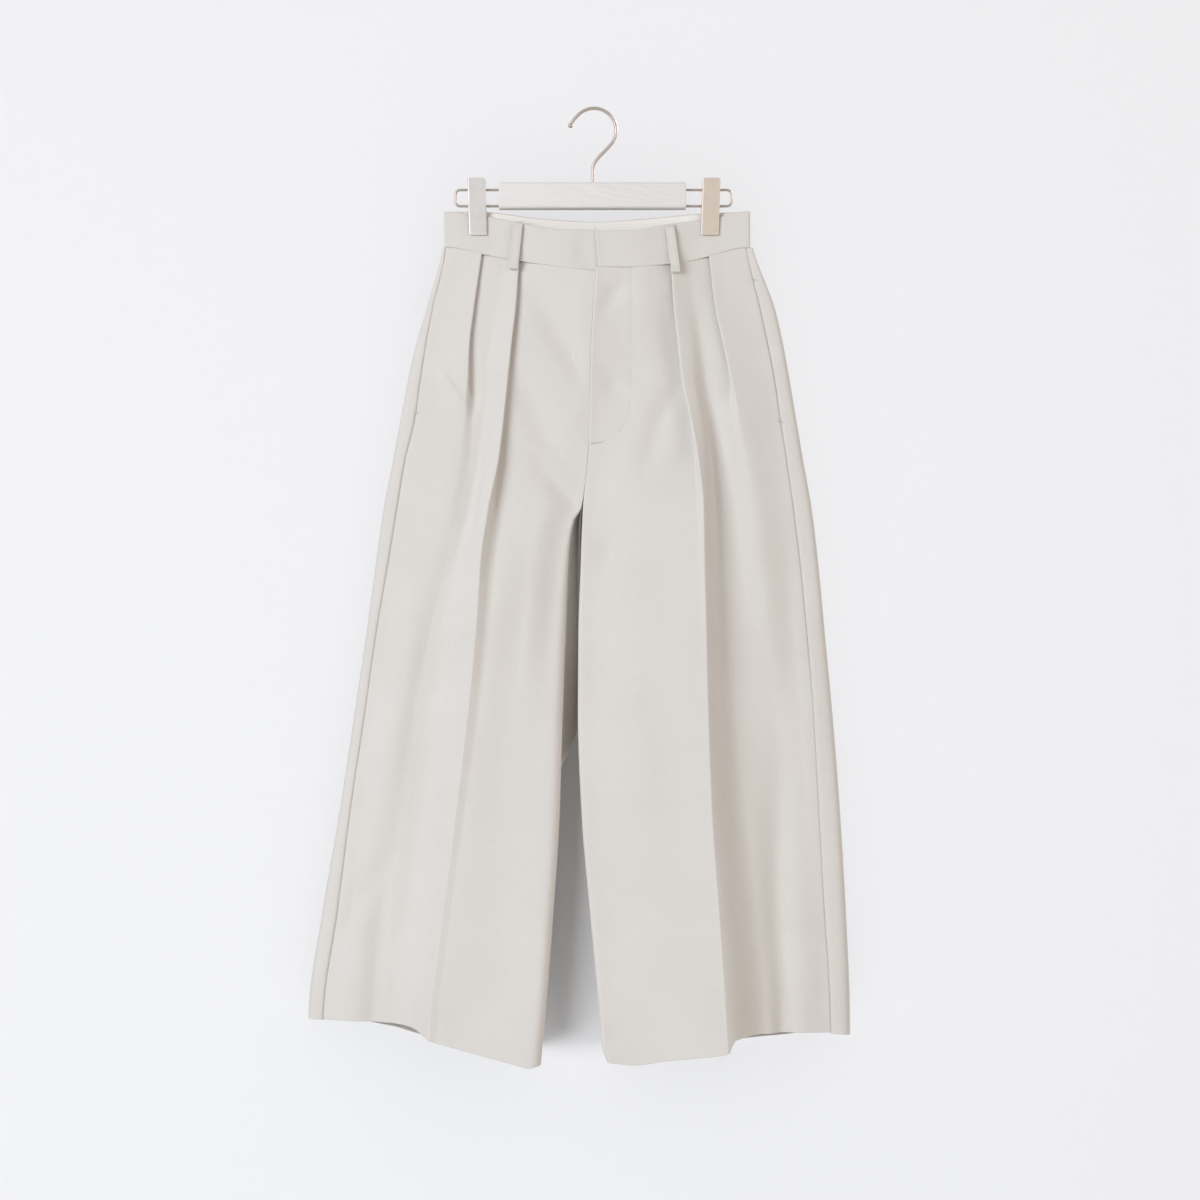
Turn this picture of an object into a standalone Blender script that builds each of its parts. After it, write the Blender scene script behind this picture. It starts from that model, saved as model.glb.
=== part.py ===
"""Pleated culottes hanging from a clip hanger.

Sizes are in millimetres here and become metres in the meshes. +Z is up and the front faces -Y.
The origin is the inner top of the hook's bend, where the hanger rests on a rod.
Left and right are those of someone who looks at the front.
"""

import math

import bmesh
import bpy
import numpy as np

MM = 0.001

# Cloth walls and the gap between sewn pieces
CLOTH = 1.2            # twill, pressed
BAND_CLOTH = 2.2       # two layers and interfacing
FACING_CLOTH = 1.0
LOOP_CLOTH = 1.6
SEAM_GAP = 0.3
SEAM_TRIM = 0.22       # how far each panel stops short of its side and inner seams
CENTRE_GAP = 0.7       # between the legs at the centre seams
WAIST_GAP = 0.7        # between the band and the legs
CROTCH_Z = -400.0

# Waistband
BAND_HEIGHT = 36.5
BAND_SIDE_GAP = 1.1    # between the middles of the front and back bands' ends
LAP_UNDER_X = 28.0     # how far the left band runs under the right one
LAP_STEP = 2.6         # how far it lies behind
LAP_RAMP = (-26.0, -3.0)
LAP_EDGE_X = 1.5
LAP_SHORTER = 4.0      # how much shorter it is below, where it is covered
FACING_DROP = 1.2      # the facing's top edge below the band's
FACING_HEIGHT = 34.0

# Pleats
LAYER = 1.8            # from one layer's middle to the next in a closed pleat

# Belt loops
LOOP_WIDTH = 9.2
LOOP_LENGTH = 50.0
LOOP_STAND = 1.9       # how far a loop's middle stands off its ends
LOOP_BELOW_SEAM = 10.0
LOOP_GAP = 0.6         # behind its sewn ends

# Fly shield
SHIELD_BACK = 4.2      # behind the fronts
SHIELD_X = (-20.0, 24.0)
SHIELD_LENGTH = 138.0

# Hanger
HOOK_WIRE = 3.4
HOOK_RADIUS = 22.0     # to the wire's middle
HOOK_BALL = 5.0
STEM_X = -1.3
STEM_FOOT = -77.0
STEM_BORE = 20.0
BAR_X = (-95.0, 92.0)
BAR_Z = (-99.3, -73.0)
BAR_DEPTH = 13.0
BAR_ROUND = 3.0
FRAME_WIRE = 2.6
FRAME_X = (-138.4, 137.4)
FRAME_Z = (-96.2, -80.0)
FRAME_CORNER = 4.5
GROOVE = 3.2
CLIP_X = (-116.5, 116.5)
CLIP_WIDTH = 18.0
CLIP_Z = (-126.0, -69.0)
CLIP_PLATE = 1.0
SPRING_WIRE = 1.2

COLOURS = {
    "cloth": ((0.63, 0.59, 0.54), 0.9, 0.0),
    "facing": ((0.80, 0.75, 0.70), 0.85, 0.0),
    "wood": ((0.78, 0.74, 0.70), 0.6, 0.0),
    "steel": ((0.52, 0.49, 0.46), 0.3, 1.0),
    "plate": ((0.60, 0.57, 0.53), 0.35, 1.0),
}


class Table:
    """A short table of named columns; a column is read at any place along the first one."""

    def __init__(self, columns, *rows):
        self.names = columns.split()
        self.rows = np.array(sorted(rows), float)

    def __call__(self, name, place):
        return level_cubic(self.rows[:, 0], self.rows[:, self.names.index(name)], place)


def level_cubic(knots, values, place):
    """A cubic through the knots that never overshoots them."""
    step = np.diff(knots)
    rise = np.diff(values) / step
    slope = np.zeros(len(knots))
    slope[0], slope[-1] = rise[0], rise[-1]
    before, after = rise[:-1], rise[1:]
    same = before * after > 0
    slope[1:-1][same] = 2 * before[same] * after[same] / (before + after)[same]
    place = np.clip(place, knots[0], knots[-1])
    i = np.clip(np.searchsorted(knots, place) - 1, 0, len(step) - 1)
    t = (place - knots[i]) / step[i]
    return ((1 + 2 * t) * (1 - t) ** 2 * values[i] + t * (1 - t) ** 2 * step[i] * slope[i]
            + t * t * (3 - 2 * t) * values[i + 1] + t * t * (t - 1) * step[i] * slope[i + 1])


# The legs seen from the front: x of each line at a height z
LEFT_LINES = Table(
    "z     outline  side    pleat    dip    crease  middle  inner",
    (-130, -149.3, -148.4, -110.5, -94.0, -73.6, -35.0, 3.6),
    (-140, -151.0, -148.9, -111.7, -95.0, -74.2, -36.0, 3.6),
    (-200, -167.6, -161.5, -120.0, -103.0, -78.2, -38.0, 0.0),
    (-235, -177.8, -168.0, -124.1, -106.0, -82.1, -40.0, -2.3),
    (-270, -185.8, -173.3, -125.6, -109.0, -85.6, -42.0, -3.1),
    (-310, -193.5, -179.1, -128.0, -112.0, -89.7, -44.0, -3.7),
    (-350, -200.8, -188.6, -132.0, -116.0, -94.6, -47.0, -5.9),
    (-398, -210.1, -196.7, -142.0, -125.0, -104.5, -54.0, -12.5),
    (-450, -217.5, -205.0, -156.0, -141.0, -112.0, -62.0, -25.5),
    (-520, -227.0, -217.0, -173.0, -160.0, -116.5, -68.0, -28.8),
    (-600, -238.8, -228.3, -190.0, -170.0, -124.0, -76.0, -32.0),
    (-700, -254.0, -243.1, -205.0, -182.0, -135.5, -84.0, -34.6),
    (-800, -271.2, -255.9, -222.0, -195.0, -148.0, -94.0, -40.9),
    (-900, -285.4, -269.8, -232.0, -203.0, -160.0, -104.0, -48.8),
    (-960, -287.0, -271.5, -234.0, -203.0, -163.5, -108.0, -54.0),
)
RIGHT_LINES = Table(
    "z     outline  side    pleat    dip    crease  middle  inner",
    (-130, 156.5, 152.0, 113.5, 96.0, 75.6, 40.0, 3.6),
    (-140, 158.9, 153.1, 114.7, 97.0, 76.2, 40.0, 3.6),
    (-200, 181.2, 166.6, 121.5, 103.0, 80.0, 41.0, 0.0),
    (-235, 189.3, 174.1, 129.0, 108.0, 83.8, 42.0, -2.3),
    (-270, 195.7, 180.8, 136.2, 112.0, 87.6, 43.0, -3.1),
    (-310, 202.5, 186.5, 144.0, 118.0, 95.5, 45.0, -3.7),
    (-350, 209.3, 192.7, 151.0, 122.0, 102.5, 47.0, -5.9),
    (-398, 217.7, 199.4, 158.0, 126.0, 107.8, 49.0, -10.8),
    (-450, 224.0, 205.8, 164.0, 129.0, 108.6, 49.0, -12.8),
    (-520, 230.7, 212.6, 174.0, 133.0, 110.3, 49.0, -15.0),
    (-600, 238.3, 219.1, 190.0, 136.0, 112.0, 49.0, -15.5),
    (-700, 246.1, 224.6, 194.0, 140.0, 115.6, 52.0, -11.9),
    (-800, 252.0, 230.2, 184.0, 143.0, 122.5, 58.0, -3.3),
    (-900, 255.9, 236.0, 180.0, 145.0, 129.0, 65.0, 6.1),
    (-960, 256.6, 237.2, 180.0, 146.0, 132.0, 71.0, 15.5),
)
# The same lines seen from the side: y of each at a height z
LEFT_DEPTHS = Table(
    "z    side pleat  dip crease middle inner",
    (-130, -1.2, -3.2, -3.2, -9.0, -13.2, -15.2),
    (-140, -1.3, -3.4, -3.4, -9.2, -13.3, -15.4),
    (-200, -3.0, -9.0, -6.0, -14.0, -13.6, -16.5),
    (-235, -3.5, -12.0, -7.5, -17.5, -14.0, -16.5),
    (-270, -4.0, -13.5, -8.0, -20.0, -14.4, -16.0),
    (-310, -4.0, -12.5, -9.0, -23.0, -15.0, -15.5),
    (-350, -4.0, -11.5, -9.5, -26.0, -16.6, -14.0),
    (-398, -4.0, -11.5, -10.0, -30.0, -19.4, -13.0),
    (-450, -4.5, -12.0, -11.0, -33.0, -23.0, -16.0),
    (-520, -4.5, -13.0, -12.5, -36.0, -28.0, -20.0),
    (-600, -5.0, -14.5, -14.0, -40.0, -34.0, -27.0),
    (-700, -5.5, -15.5, -15.5, -46.0, -41.0, -35.0),
    (-800, -5.5, -15.5, -16.5, -52.0, -47.0, -42.0),
    (-900, -6.0, -14.0, -17.0, -58.0, -53.0, -48.0),
    (-960, -6.0, -13.0, -17.0, -60.0, -55.0, -50.0),
)
RIGHT_DEPTHS = Table(
    "z    side pleat  dip crease middle inner",
    (-130, -1.2, -3.2, -3.2, -9.0, -13.2, -15.2),
    (-140, -1.3, -3.4, -3.4, -9.2, -13.4, -15.4),
    (-200, -3.0, -9.0, -6.0, -14.0, -13.6, -16.5),
    (-235, -3.5, -12.0, -7.0, -18.0, -14.0, -16.5),
    (-270, -4.0, -13.5, -7.5, -22.0, -15.0, -16.0),
    (-310, -4.0, -13.5, -8.0, -27.0, -17.0, -15.5),
    (-350, -4.5, -13.0, -8.5, -31.0, -20.0, -14.0),
    (-398, -5.0, -12.5, -9.0, -35.0, -24.0, -13.0),
    (-450, -5.0, -12.0, -9.5, -38.0, -28.0, -16.0),
    (-520, -5.5, -10.5, -11.0, -41.0, -32.5, -21.0),
    (-600, -6.0, -9.5, -13.0, -44.0, -37.0, -27.0),
    (-700, -6.0, -10.0, -16.0, -49.0, -42.0, -34.0),
    (-800, -6.0, -12.0, -19.0, -54.0, -46.0, -40.0),
    (-900, -6.5, -14.0, -24.0, -59.0, -49.0, -45.0),
    (-960, -6.5, -15.0, -27.0, -61.0, -50.0, -46.0),
)
# The outer pleat: heading before it, how far it turns, its tuck, the bends' radii, heading after,
# and the heading at the dip between the pleats
OUTER_PLEAT = Table(
    "z     lead  turn  tuck  bend  under  leave  through",
    (-130, 8, 180, 13.0, 0.9, 0.9, 8, 14),
    (-190, 14, 180, 11.0, 0.9, 0.9, 6, 6),
    (-235, 15, 172, 8.0, 0.9, 1.0, 6, 1),
    (-270, 16, 130, 4.0, 1.2, 1.6, 2, 1),
    (-310, 14, 40, 4.0, 5.0, 6.0, -2, 1),
    (-370, 6, 16, 4.0, 20.0, 20.0, -4, 1),
    (-450, 2, 8, 5.0, 40.0, 40.0, -3, 1),
    (-960, 0, 6, 5.0, 50.0, 50.0, -3, 1),
)
# The inner pleat, which runs on as the pressed crease
LEFT_CREASE = Table(
    "z     lead  turn  tuck  bend  under  leave",
    (-130, 18, 180, 14.0, 0.9, 0.9, 16),
    (-200, 24, 180, 12.0, 0.9, 0.9, 6),
    (-270, 27, 178, 9.0, 0.9, 1.2, 4),
    (-330, 31, 165, 7.0, 0.9, 2.0, 3),
    (-380, 34, 125, 8.0, 1.0, 4.0, 6),
    (-420, 37, 96, 9.0, 1.1, 8.0, 10),
    (-520, 36, 70, 7.0, 1.2, 12.0, 8),
    (-650, 42, 54, 5.0, 1.2, 14.0, 0),
    (-800, 50, 56, 4.0, 1.2, 14.0, -3),
    (-960, 58, 64, 4.0, 1.2, 14.0, -4),
)
RIGHT_CREASE = Table(
    "z     lead  turn  tuck  bend  under  leave",
    (-130, 18, 180, 14.0, 0.9, 0.9, 16),
    (-200, 24, 180, 11.0, 0.9, 0.9, 5),
    (-270, 31, 174, 8.0, 0.9, 1.2, 3),
    (-330, 36, 146, 7.0, 0.9, 2.0, 0),
    (-380, 42, 102, 6.0, 1.0, 4.0, -4),
    (-420, 46, 74, 5.0, 1.1, 8.0, -10),
    (-520, 48, 64, 4.0, 1.2, 12.0, -10),
    (-650, 50, 62, 4.0, 1.2, 14.0, -9),
    (-800, 56, 66, 4.0, 1.2, 14.0, -7),
    (-960, 66, 72, 4.0, 1.2, 14.0, -5),
)
# Behind: y of the outline, the back's outer shoulder, its crease and its inner corner, and the seams.
# front_seam and back_seam are the edges of front and back at the inner leg, which meet at the crotch.
BACKS = Table(
    "z    outline shoulder crease corner front_seam back_seam",
    (-130, 0.6, 2.6, 5.4, 9.6, -12.4, 6.4),
    (-140, 0.6, 3.0, 6.0, 10.4, -12.4, 7.4),
    (-200, 3.0, 8.0, 14.0, 17.0, -13.9, 14.4),
    (-270, 4.5, 12.0, 20.0, 22.0, -13.4, 19.4),
    (-310, 5.0, 13.0, 23.0, 23.5, -12.6, 20.5),
    (-340, 5.0, 13.5, 25.0, 24.0, -9.5, 20.0),
    (-375, 5.0, 14.0, 27.0, 23.0, -5.5, 13.0),
    (-400, 5.0, 14.0, 28.0, 21.0, 1.0, 1.6),
    (-450, 5.5, 14.5, 30.0, 19.0, 1.0, 1.6),
    (-600, 5.5, 15.0, 32.0, 18.0, -1.0, -0.4),
    (-750, 6.0, 15.0, 33.0, 18.0, -6.0, -5.4),
    (-960, 6.0, 15.0, 34.0, 16.0, -12.0, -11.4),
)
# x of the back's inner corner, and of the edges of back and front, which meet below the crotch
LEFT_INSIDE = Table(
    "z     corner  back_seam  front_seam",
    (-130, 0.4, 0.4, 3.6),
    (-200, -1.6, -1.6, 0.0),
    (-270, -3.0, -3.0, -3.1),
    (-350, -5.9, -5.9, -5.9),
    (-400, -13.5, -13.0, -13.0),
    (-450, -16.6, -20.0, -20.0),
    (-630, -17.0, -24.0, -24.0),
    (-690, -22.0, -28.0, -28.0),
    (-760, -33.0, -34.0, -34.0),
    (-960, -49.0, -50.0, -50.0),
)
RIGHT_INSIDE = Table(
    "z     corner  back_seam  front_seam",
    (-130, 0.4, 0.4, 3.6),
    (-200, -1.6, -1.6, 0.0),
    (-270, -3.0, -3.0, -3.1),
    (-350, -5.9, -5.9, -5.9),
    (-400, -12.5, -10.9, -10.9),
    (-450, -14.8, -12.8, -12.8),
    (-630, -15.2, -13.8, -13.8),
    (-700, -9.0, -9.4, -9.4),
    (-800, -1.6, -1.8, -1.8),
    (-960, 16.5, 16.5, 16.5),
)
# The back panels' pressed crease: x at a height z
BACK_CREASES = Table(
    "z     left   right",
    (-130, -72.0, 74.0),
    (-400, -105.0, 108.0),
    (-960, -168.0, 132.0),
)

# Edges along x: the waist seam of each side, the back's waist seam, and the hems of front and back
WAIST_FRONT_LEFT = Table(
    "x     seam",
    (-150, -137.9), (-145, -137.9), (-113, -144.4), (-87, -150.0), (-42, -157.7),
    (-10, -161.8), (5, -162.7), (30, -162.7),
)
WAIST_FRONT_RIGHT = Table(
    "x     seam",
    (-5, -158.9), (37, -159.1), (72, -155.8), (88, -153.6), (115, -146.9), (130, -142.4),
    (141, -139.6), (150, -138.2), (157, -138.0),
)
WAIST_BACK = Table(
    "x     seam",
    (-150, -137.9), (-145, -137.9), (-105, -138.6), (-55, -144.0), (0, -147.0), (55, -144.0),
    (105, -140.0), (150, -138.2), (157, -138.0),
)
HEM_LEFT = Table(
    "x     front   back",
    (-290, -908.5, -908.5), (-268, -908.5, -908.5), (-205, -910.0, -920.0), (-178, -912.5, -929.0),
    (-163, -920.0, -933.0), (-64, -946.0, -946.0), (-50, -944.0, -944.0), (-48, -944.0, -944.0),
)
HEM_RIGHT = Table(
    "x     front   back",
    (5, -945.0, -945.0), (20, -945.0, -945.0), (40, -946.0, -942.0), (132, -932.6, -930.0),
    (146, -924.0, -926.5), (178, -920.0, -923.5), (234, -922.0, -922.0), (257, -925.0, -925.0),
)
# The band in plan: y of its middle at the top and at the waist seam, front and back
BAND = Table(
    "x     front_top  front_low  back_top  back_low",
    (-146, -2.0, -2.2, 2.15, 2.3),
    (-128, -2.0, -3.0, 2.1, 3.0),
    (-106, -2.0, -3.2, 2.1, 3.2),
    (-76, -5.0, -8.8, 4.2, 6.2),
    (-40, -9.5, -13.0, 6.6, 8.8),
    (0, -12.0, -15.2, 7.6, 9.8),
    (40, -11.0, -14.0, 6.8, 9.0),
    (76, -5.6, -9.0, 4.4, 6.4),
    (106, -2.0, -3.2, 2.1, 3.2),
    (128, -2.0, -3.0, 2.1, 3.0),
    (152, -2.0, -2.2, 2.15, 2.3),
)
BAND_ENDS = (-150.0, 156.4)

ROWS = (12, 9)         # rows of each leg above and below the crotch


# ---------------------------------------------------------------- sections

def heading(angle, inward):
    """The direction at an angle towards the front from the inward one."""
    angle = np.radians(angle)
    return np.cos(angle) * inward, -np.sin(angle)


def span(start, end, lead, leave, inward, t, pull=1.0):
    """A cubic from start to end that leaves at one heading and arrives at the other."""
    chord = pull * np.hypot(end[0] - start[0], end[1] - start[1])
    first, last = heading(lead, inward), heading(leave, inward)
    a, b = (1 + 2 * t) * (1 - t) ** 2, t * t * (3 - 2 * t)
    c, d = t * (1 - t) ** 2, t * t * (t - 1)
    return tuple(a * start[k] + b * end[k] + chord * (c * first[k] + d * last[k]) for k in (0, 1))


def turned(start, radius, lead, turn, inward, t):
    """A point on an arc that starts at a heading and turns back by an angle."""
    way = heading(lead - turn * t / 2, inward)
    chord = 2 * radius * np.abs(np.sin(np.radians(turn * t / 2)))
    return start[0] + chord * way[0], start[1] + chord * way[1]


class Pleat:
    """A fold whose edge is at a given place: a bend, a tuck behind it and a bend back."""

    def __init__(self, place, table, z, inward):
        read = {name: table(name, z) for name in table.names[1:]}
        self.inward, self.lead, self.leave = inward, read["lead"], read["leave"]
        self.turn, self.bend, self.under = read["turn"], read["bend"], read["under"]
        to_edge = turned((0, 0), self.bend, self.lead, self.turn, inward, 0.5)
        self.start = place[0] - to_edge[0], place[1] - to_edge[1]
        straight = 3.0 + read["tuck"] * np.clip((self.turn - 90) / 60, 0, 1)
        way = heading(self.lead, inward)
        self.near = self.start[0] - straight * way[0], self.start[1] - straight * way[1]
        self.top = turned(self.start, self.bend, self.lead, self.turn, inward, 1)
        way = heading(self.lead - self.turn, inward)
        self.foot = self.top[0] + read["tuck"] * way[0], self.top[1] + read["tuck"] * way[1]
        self.back = self.leave - (self.lead - self.turn)
        self.end = turned(self.foot, self.under, self.lead - self.turn, -self.back, inward, 1)

    def approach(self, t):
        return tuple(self.near[k] + (self.start[k] - self.near[k]) * t for k in (0, 1))

    def over(self, t):
        return turned(self.start, self.bend, self.lead, self.turn, self.inward, t)

    def tuck(self, t):
        return tuple(self.top[k] + (self.foot[k] - self.top[k]) * t for k in (0, 1))

    def below(self, t):
        return turned(self.foot, self.under, self.lead - self.turn, -self.back, self.inward, t)


def front_section(leg, z, stretch, t):
    """The front's middle line in plan, from the side seam to the inner leg: one stretch of it."""
    lines, depths, inward = leg["lines"], leg["depths"], leg["inward"]
    at = {name: (lines(name, z), depths(name, z)) for name in depths.names[1:]}
    outer = Pleat(at["pleat"], OUTER_PLEAT, z, inward)
    crease = Pleat(at["crease"], leg["crease"], z, inward)
    through = OUTER_PLEAT("through", z)
    edge_bend = 1.0 + 3.0 * np.clip((CROTCH_Z - z) / 120, 0, 1)
    half_gap = inward * (CLOTH + CENTRE_GAP) / 2
    seam = leg["inside"]("front_seam", z) - half_gap, BACKS("front_seam", z)
    if stretch == "side":
        return span(at["side"], outer.start, 4, outer.lead, inward, t)
    if stretch == "dip":
        return span(outer.end, at["dip"], outer.leave, through, inward, t)
    if stretch == "rise":
        return span(at["dip"], crease.near, through, crease.lead, inward, t)
    if stretch == "inner":
        return span(crease.end, at["middle"], crease.leave, leg["inner_heading"], inward, t)
    corner = at["inner"][0] - half_gap - inward * edge_bend, at["inner"][1]
    if stretch == "edge":
        return span(at["middle"], corner, leg["inner_heading"], 6, inward, t)
    if stretch == "turn":
        return turned(corner, edge_bend, 6, 96, inward, t)
    if stretch == "seam":
        return span(turned(corner, edge_bend, 6, 96, inward, 1), seam, -90, -90, inward, t, 0.5)
    fold = outer if stretch.startswith("outer") else crease
    part = {"near": fold.approach, "bend": fold.over, "tuck": fold.tuck, "under": fold.below}
    return part[stretch.split("_")[1]](t)


# The stretches of each section, from the side seam inwards, with the steps in each
FRONT_STRETCHES = (
    ("side", 5), ("outer_bend", 3), ("outer_tuck", 1), ("outer_under", 3), ("dip", 2), ("rise", 3),
    ("crease_near", 1), ("crease_bend", 3), ("crease_tuck", 1), ("crease_under", 3),
    ("inner", 3), ("edge", 3), ("turn", 2), ("seam", 1),
)


def back_section(leg, z, stretch, t):
    """The back's middle line in plan, from the side seam round the outline to the inner leg."""
    lines, inside, inward = leg["lines"], leg["inside"], leg["inward"]
    side = lines("side", z), leg["depths"]("side", z)
    outline = lines("outline", z), BACKS("outline", z)
    shoulder = outline[0] + inward * (BACKS("shoulder", z) - outline[1]) * 1.3, BACKS("shoulder", z)
    crease = BACK_CREASES(leg["name"], z), BACKS("crease", z)
    corner = inside("corner", z), BACKS("corner", z)
    half_gap = inward * (CLOTH + CENTRE_GAP) / 2
    seam = inside("back_seam", z) - half_gap, BACKS("back_seam", z)
    rise = np.degrees(np.arctan2(crease[1] - shoulder[1], abs(crease[0] - shoulder[0])))
    if stretch == "wrap":
        return span(side, outline, -176, -90, inward, t, 1.1)
    if stretch == "shoulder":
        return span(outline, shoulder, -90, -20, inward, t, 1.1)
    if stretch == "outer":
        return span(shoulder, crease, -20, -rise - 6, inward, t)
    bend = 1.0 + 2.5 * np.clip((CROTCH_Z - z) / 120, 0, 1)
    near = corner[0] - half_gap - inward * bend, corner[1]
    if stretch == "inner":
        return span(crease, near, -rise + 8, 8, inward, t)
    if stretch == "turn":
        return turned(near, bend, 8, -82, inward, t)
    return span(turned(near, bend, 8, -82, inward, 1), seam, 90, 90, inward, t, 0.5)


BACK_STRETCHES = (("wrap", 3), ("shoulder", 3), ("outer", 4), ("inner", 5), ("turn", 2), ("seam", 2))

LEGS = (
    {"name": "left", "inward": 1, "lines": LEFT_LINES, "depths": LEFT_DEPTHS, "crease": LEFT_CREASE,
     "inside": LEFT_INSIDE, "waist": WAIST_FRONT_LEFT, "hem": HEM_LEFT, "inner_heading": 2},
    {"name": "right", "inward": -1, "lines": RIGHT_LINES, "depths": RIGHT_DEPTHS, "crease": RIGHT_CREASE,
     "inside": RIGHT_INSIDE, "waist": WAIST_FRONT_RIGHT, "hem": HEM_RIGHT, "inner_heading": -6},
)


def panel_points(leg, section, stretches, waist, hem, rows):
    """A panel's middle surface: rows from waist to crotch and on to the hem, columns along the section."""
    upper = np.linspace(0, 1, rows[0] + 1)
    lower = np.linspace(0, 1, rows[1] + 1)[1:]
    columns = []
    for number, (stretch, steps) in enumerate(stretches):
        for step in range(0 if number == 0 else 1, steps + 1):
            t = step / steps
            top = waist(section(leg, -145.0, stretch, t)[0]) - WAIST_GAP
            foot = hem(section(leg, -925.0, stretch, t)[0])
            z = np.concatenate((top + (CROTCH_Z - top) * upper, CROTCH_Z + (foot - CROTCH_Z) * lower))
            x, y = section(leg, z, stretch, t)
            columns.append(np.stack((x + 0 * z, y + 0 * z, z), axis=-1))
    return np.stack(columns, axis=1)


# ---------------------------------------------------------------- solids

def plan_normals(points):
    """Mitred normals of each row in plan, so that a wall keeps its thickness round a fold."""
    way = np.diff(points[:, :, :2], axis=1)
    way /= np.linalg.norm(way, axis=2, keepdims=True)
    side = np.stack((-way[:, :, 1], way[:, :, 0]), axis=-1)
    before = np.concatenate((side[:, :1], side), axis=1)
    after = np.concatenate((side, side[:, -1:]), axis=1)
    both = before + after
    both /= np.linalg.norm(both, axis=2, keepdims=True)
    reach = 1 / np.maximum(np.sum(both * before, axis=2, keepdims=True), 0.6)
    normals = np.zeros_like(points)
    normals[:, :, :2] = both * reach
    return normals


def finish(name, mesh_bm, kind):
    """Make a named object of a closed bmesh, with its faces outwards and its own material."""
    bmesh.ops.recalc_face_normals(mesh_bm, faces=mesh_bm.faces)
    mesh = bpy.data.meshes.new(name)
    mesh_bm.to_mesh(mesh)
    mesh_bm.free()
    colour, roughness, metallic = COLOURS[kind]
    material = bpy.data.materials.new(name)
    material.use_nodes = True
    shader = material.node_tree.nodes["Principled BSDF"]
    shader.inputs["Base Color"].default_value = (*colour, 1)
    shader.inputs["Roughness"].default_value = roughness
    shader.inputs["Metallic"].default_value = metallic
    mesh.materials.append(material)
    mesh.shade_smooth()
    mesh.set_sharp_from_angle(angle=math.radians(40))
    piece = bpy.data.objects.new(name, mesh)
    bpy.context.scene.collection.objects.link(piece)
    return piece


def solid_between(name, outer, inner, kind):
    """A closed wall between two grids of points of the same size."""
    rows, columns = outer.shape[:2]
    bm = bmesh.new()
    near = [[bm.verts.new(point * MM) for point in row] for row in outer]
    far = [[bm.verts.new(point * MM) for point in row] for row in inner]
    for i in range(rows - 1):
        for j in range(columns - 1):
            bm.faces.new((near[i][j], near[i][j + 1], near[i + 1][j + 1], near[i + 1][j]))
            bm.faces.new((far[i][j], far[i + 1][j], far[i + 1][j + 1], far[i][j + 1]))
    for j in range(columns - 1):
        for i in (0, rows - 1):
            bm.faces.new((near[i][j], far[i][j], far[i][j + 1], near[i][j + 1]))
    for i in range(rows - 1):
        for j in (0, columns - 1):
            bm.faces.new((near[i][j], near[i + 1][j], far[i + 1][j], far[i][j]))
    return finish(name, bm, kind)


def wall(name, points, thickness, kind):
    """A cloth wall of one thickness round its middle surface."""
    reach = plan_normals(points) * thickness / 2
    return solid_between(name, points + reach, points - reach, kind)


def trimmed(points, first, last):
    """Shorten each row at its ends, for the gap at a seam."""
    points = points.copy()
    for end, following, amount in ((0, 1, first), (-1, -2, last)):
        way = points[:, following] - points[:, end]
        way[:, 2] = 0
        points[:, end] += amount * way / np.linalg.norm(way, axis=1, keepdims=True)
    return points


def ring_verts(bm, point, way, radius, sides):
    """A ring of points round a path in a plane of constant y."""
    way = way / np.linalg.norm(way)
    across, depth = np.array((way[2], 0.0, -way[0])), np.array((0.0, 1.0, 0.0))
    return [bm.verts.new((point + radius * (math.cos(a) * across + math.sin(a) * depth)) * MM)
            for a in (math.tau * k / sides for k in range(sides))]


def skin(bm, rings):
    """The faces between each ring and the next."""
    sides = len(rings[0])
    for ring, following in zip(rings, rings[1:]):
        for k in range(sides):
            bm.faces.new((ring[k], ring[(k + 1) % sides], following[(k + 1) % sides], following[k]))


def tube(name, path, radii, sides, kind):
    """A round bar along a path in a plane of constant y, with its ends closed."""
    path = np.array(path, float)
    bm = bmesh.new()
    rings = [ring_verts(bm, point, way, radius, sides)
             for point, way, radius in zip(path, np.gradient(path, axis=0), radii)]
    skin(bm, rings)
    bm.faces.new(rings[0])
    bm.faces.new(rings[-1])
    return finish(name, bm, kind)


def ring_tube(name, path, radius, sides, kind):
    """A round bar along a closed path in a plane of constant y."""
    path = np.array(path, float)
    bm = bmesh.new()
    ways = np.roll(path, -1, axis=0) - np.roll(path, 1, axis=0)
    rings = [ring_verts(bm, point, way, radius, sides) for point, way in zip(path, ways)]
    skin(bm, rings + rings[:1])
    return finish(name, bm, kind)


def prism(name, outline, x_ends, kind):
    """An outline in y and z, drawn along x."""
    bm = bmesh.new()
    ends = [[bm.verts.new((x * MM, y * MM, z * MM)) for y, z in outline] for x in x_ends]
    for end in ends:
        bm.faces.new(end)
    count = len(outline)
    for k in range(count):
        bm.faces.new((ends[0][k], ends[0][(k + 1) % count], ends[1][(k + 1) % count], ends[1][k]))
    return finish(name, bm, kind)


def arc(centre, radius, start, stop, steps):
    """Points on an arc, angles in degrees."""
    return [(centre[0] + radius * math.cos(math.radians(a)), centre[1] + radius * math.sin(math.radians(a)))
            for a in np.linspace(start, stop, steps + 1)]


# ---------------------------------------------------------------- garment

def build_legs():
    for leg in LEGS:
        for face, section, stretches, waist in (("front", front_section, FRONT_STRETCHES, leg["waist"]),
                                                ("back", back_section, BACK_STRETCHES, WAIST_BACK)):
            points = panel_points(leg, section, stretches, lambda x: waist("seam", x),
                                  lambda x: leg["hem"](face, x), ROWS)
            wall(face + "_" + leg["name"], trimmed(points, SEAM_TRIM, SEAM_TRIM), CLOTH, "cloth")


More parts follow.
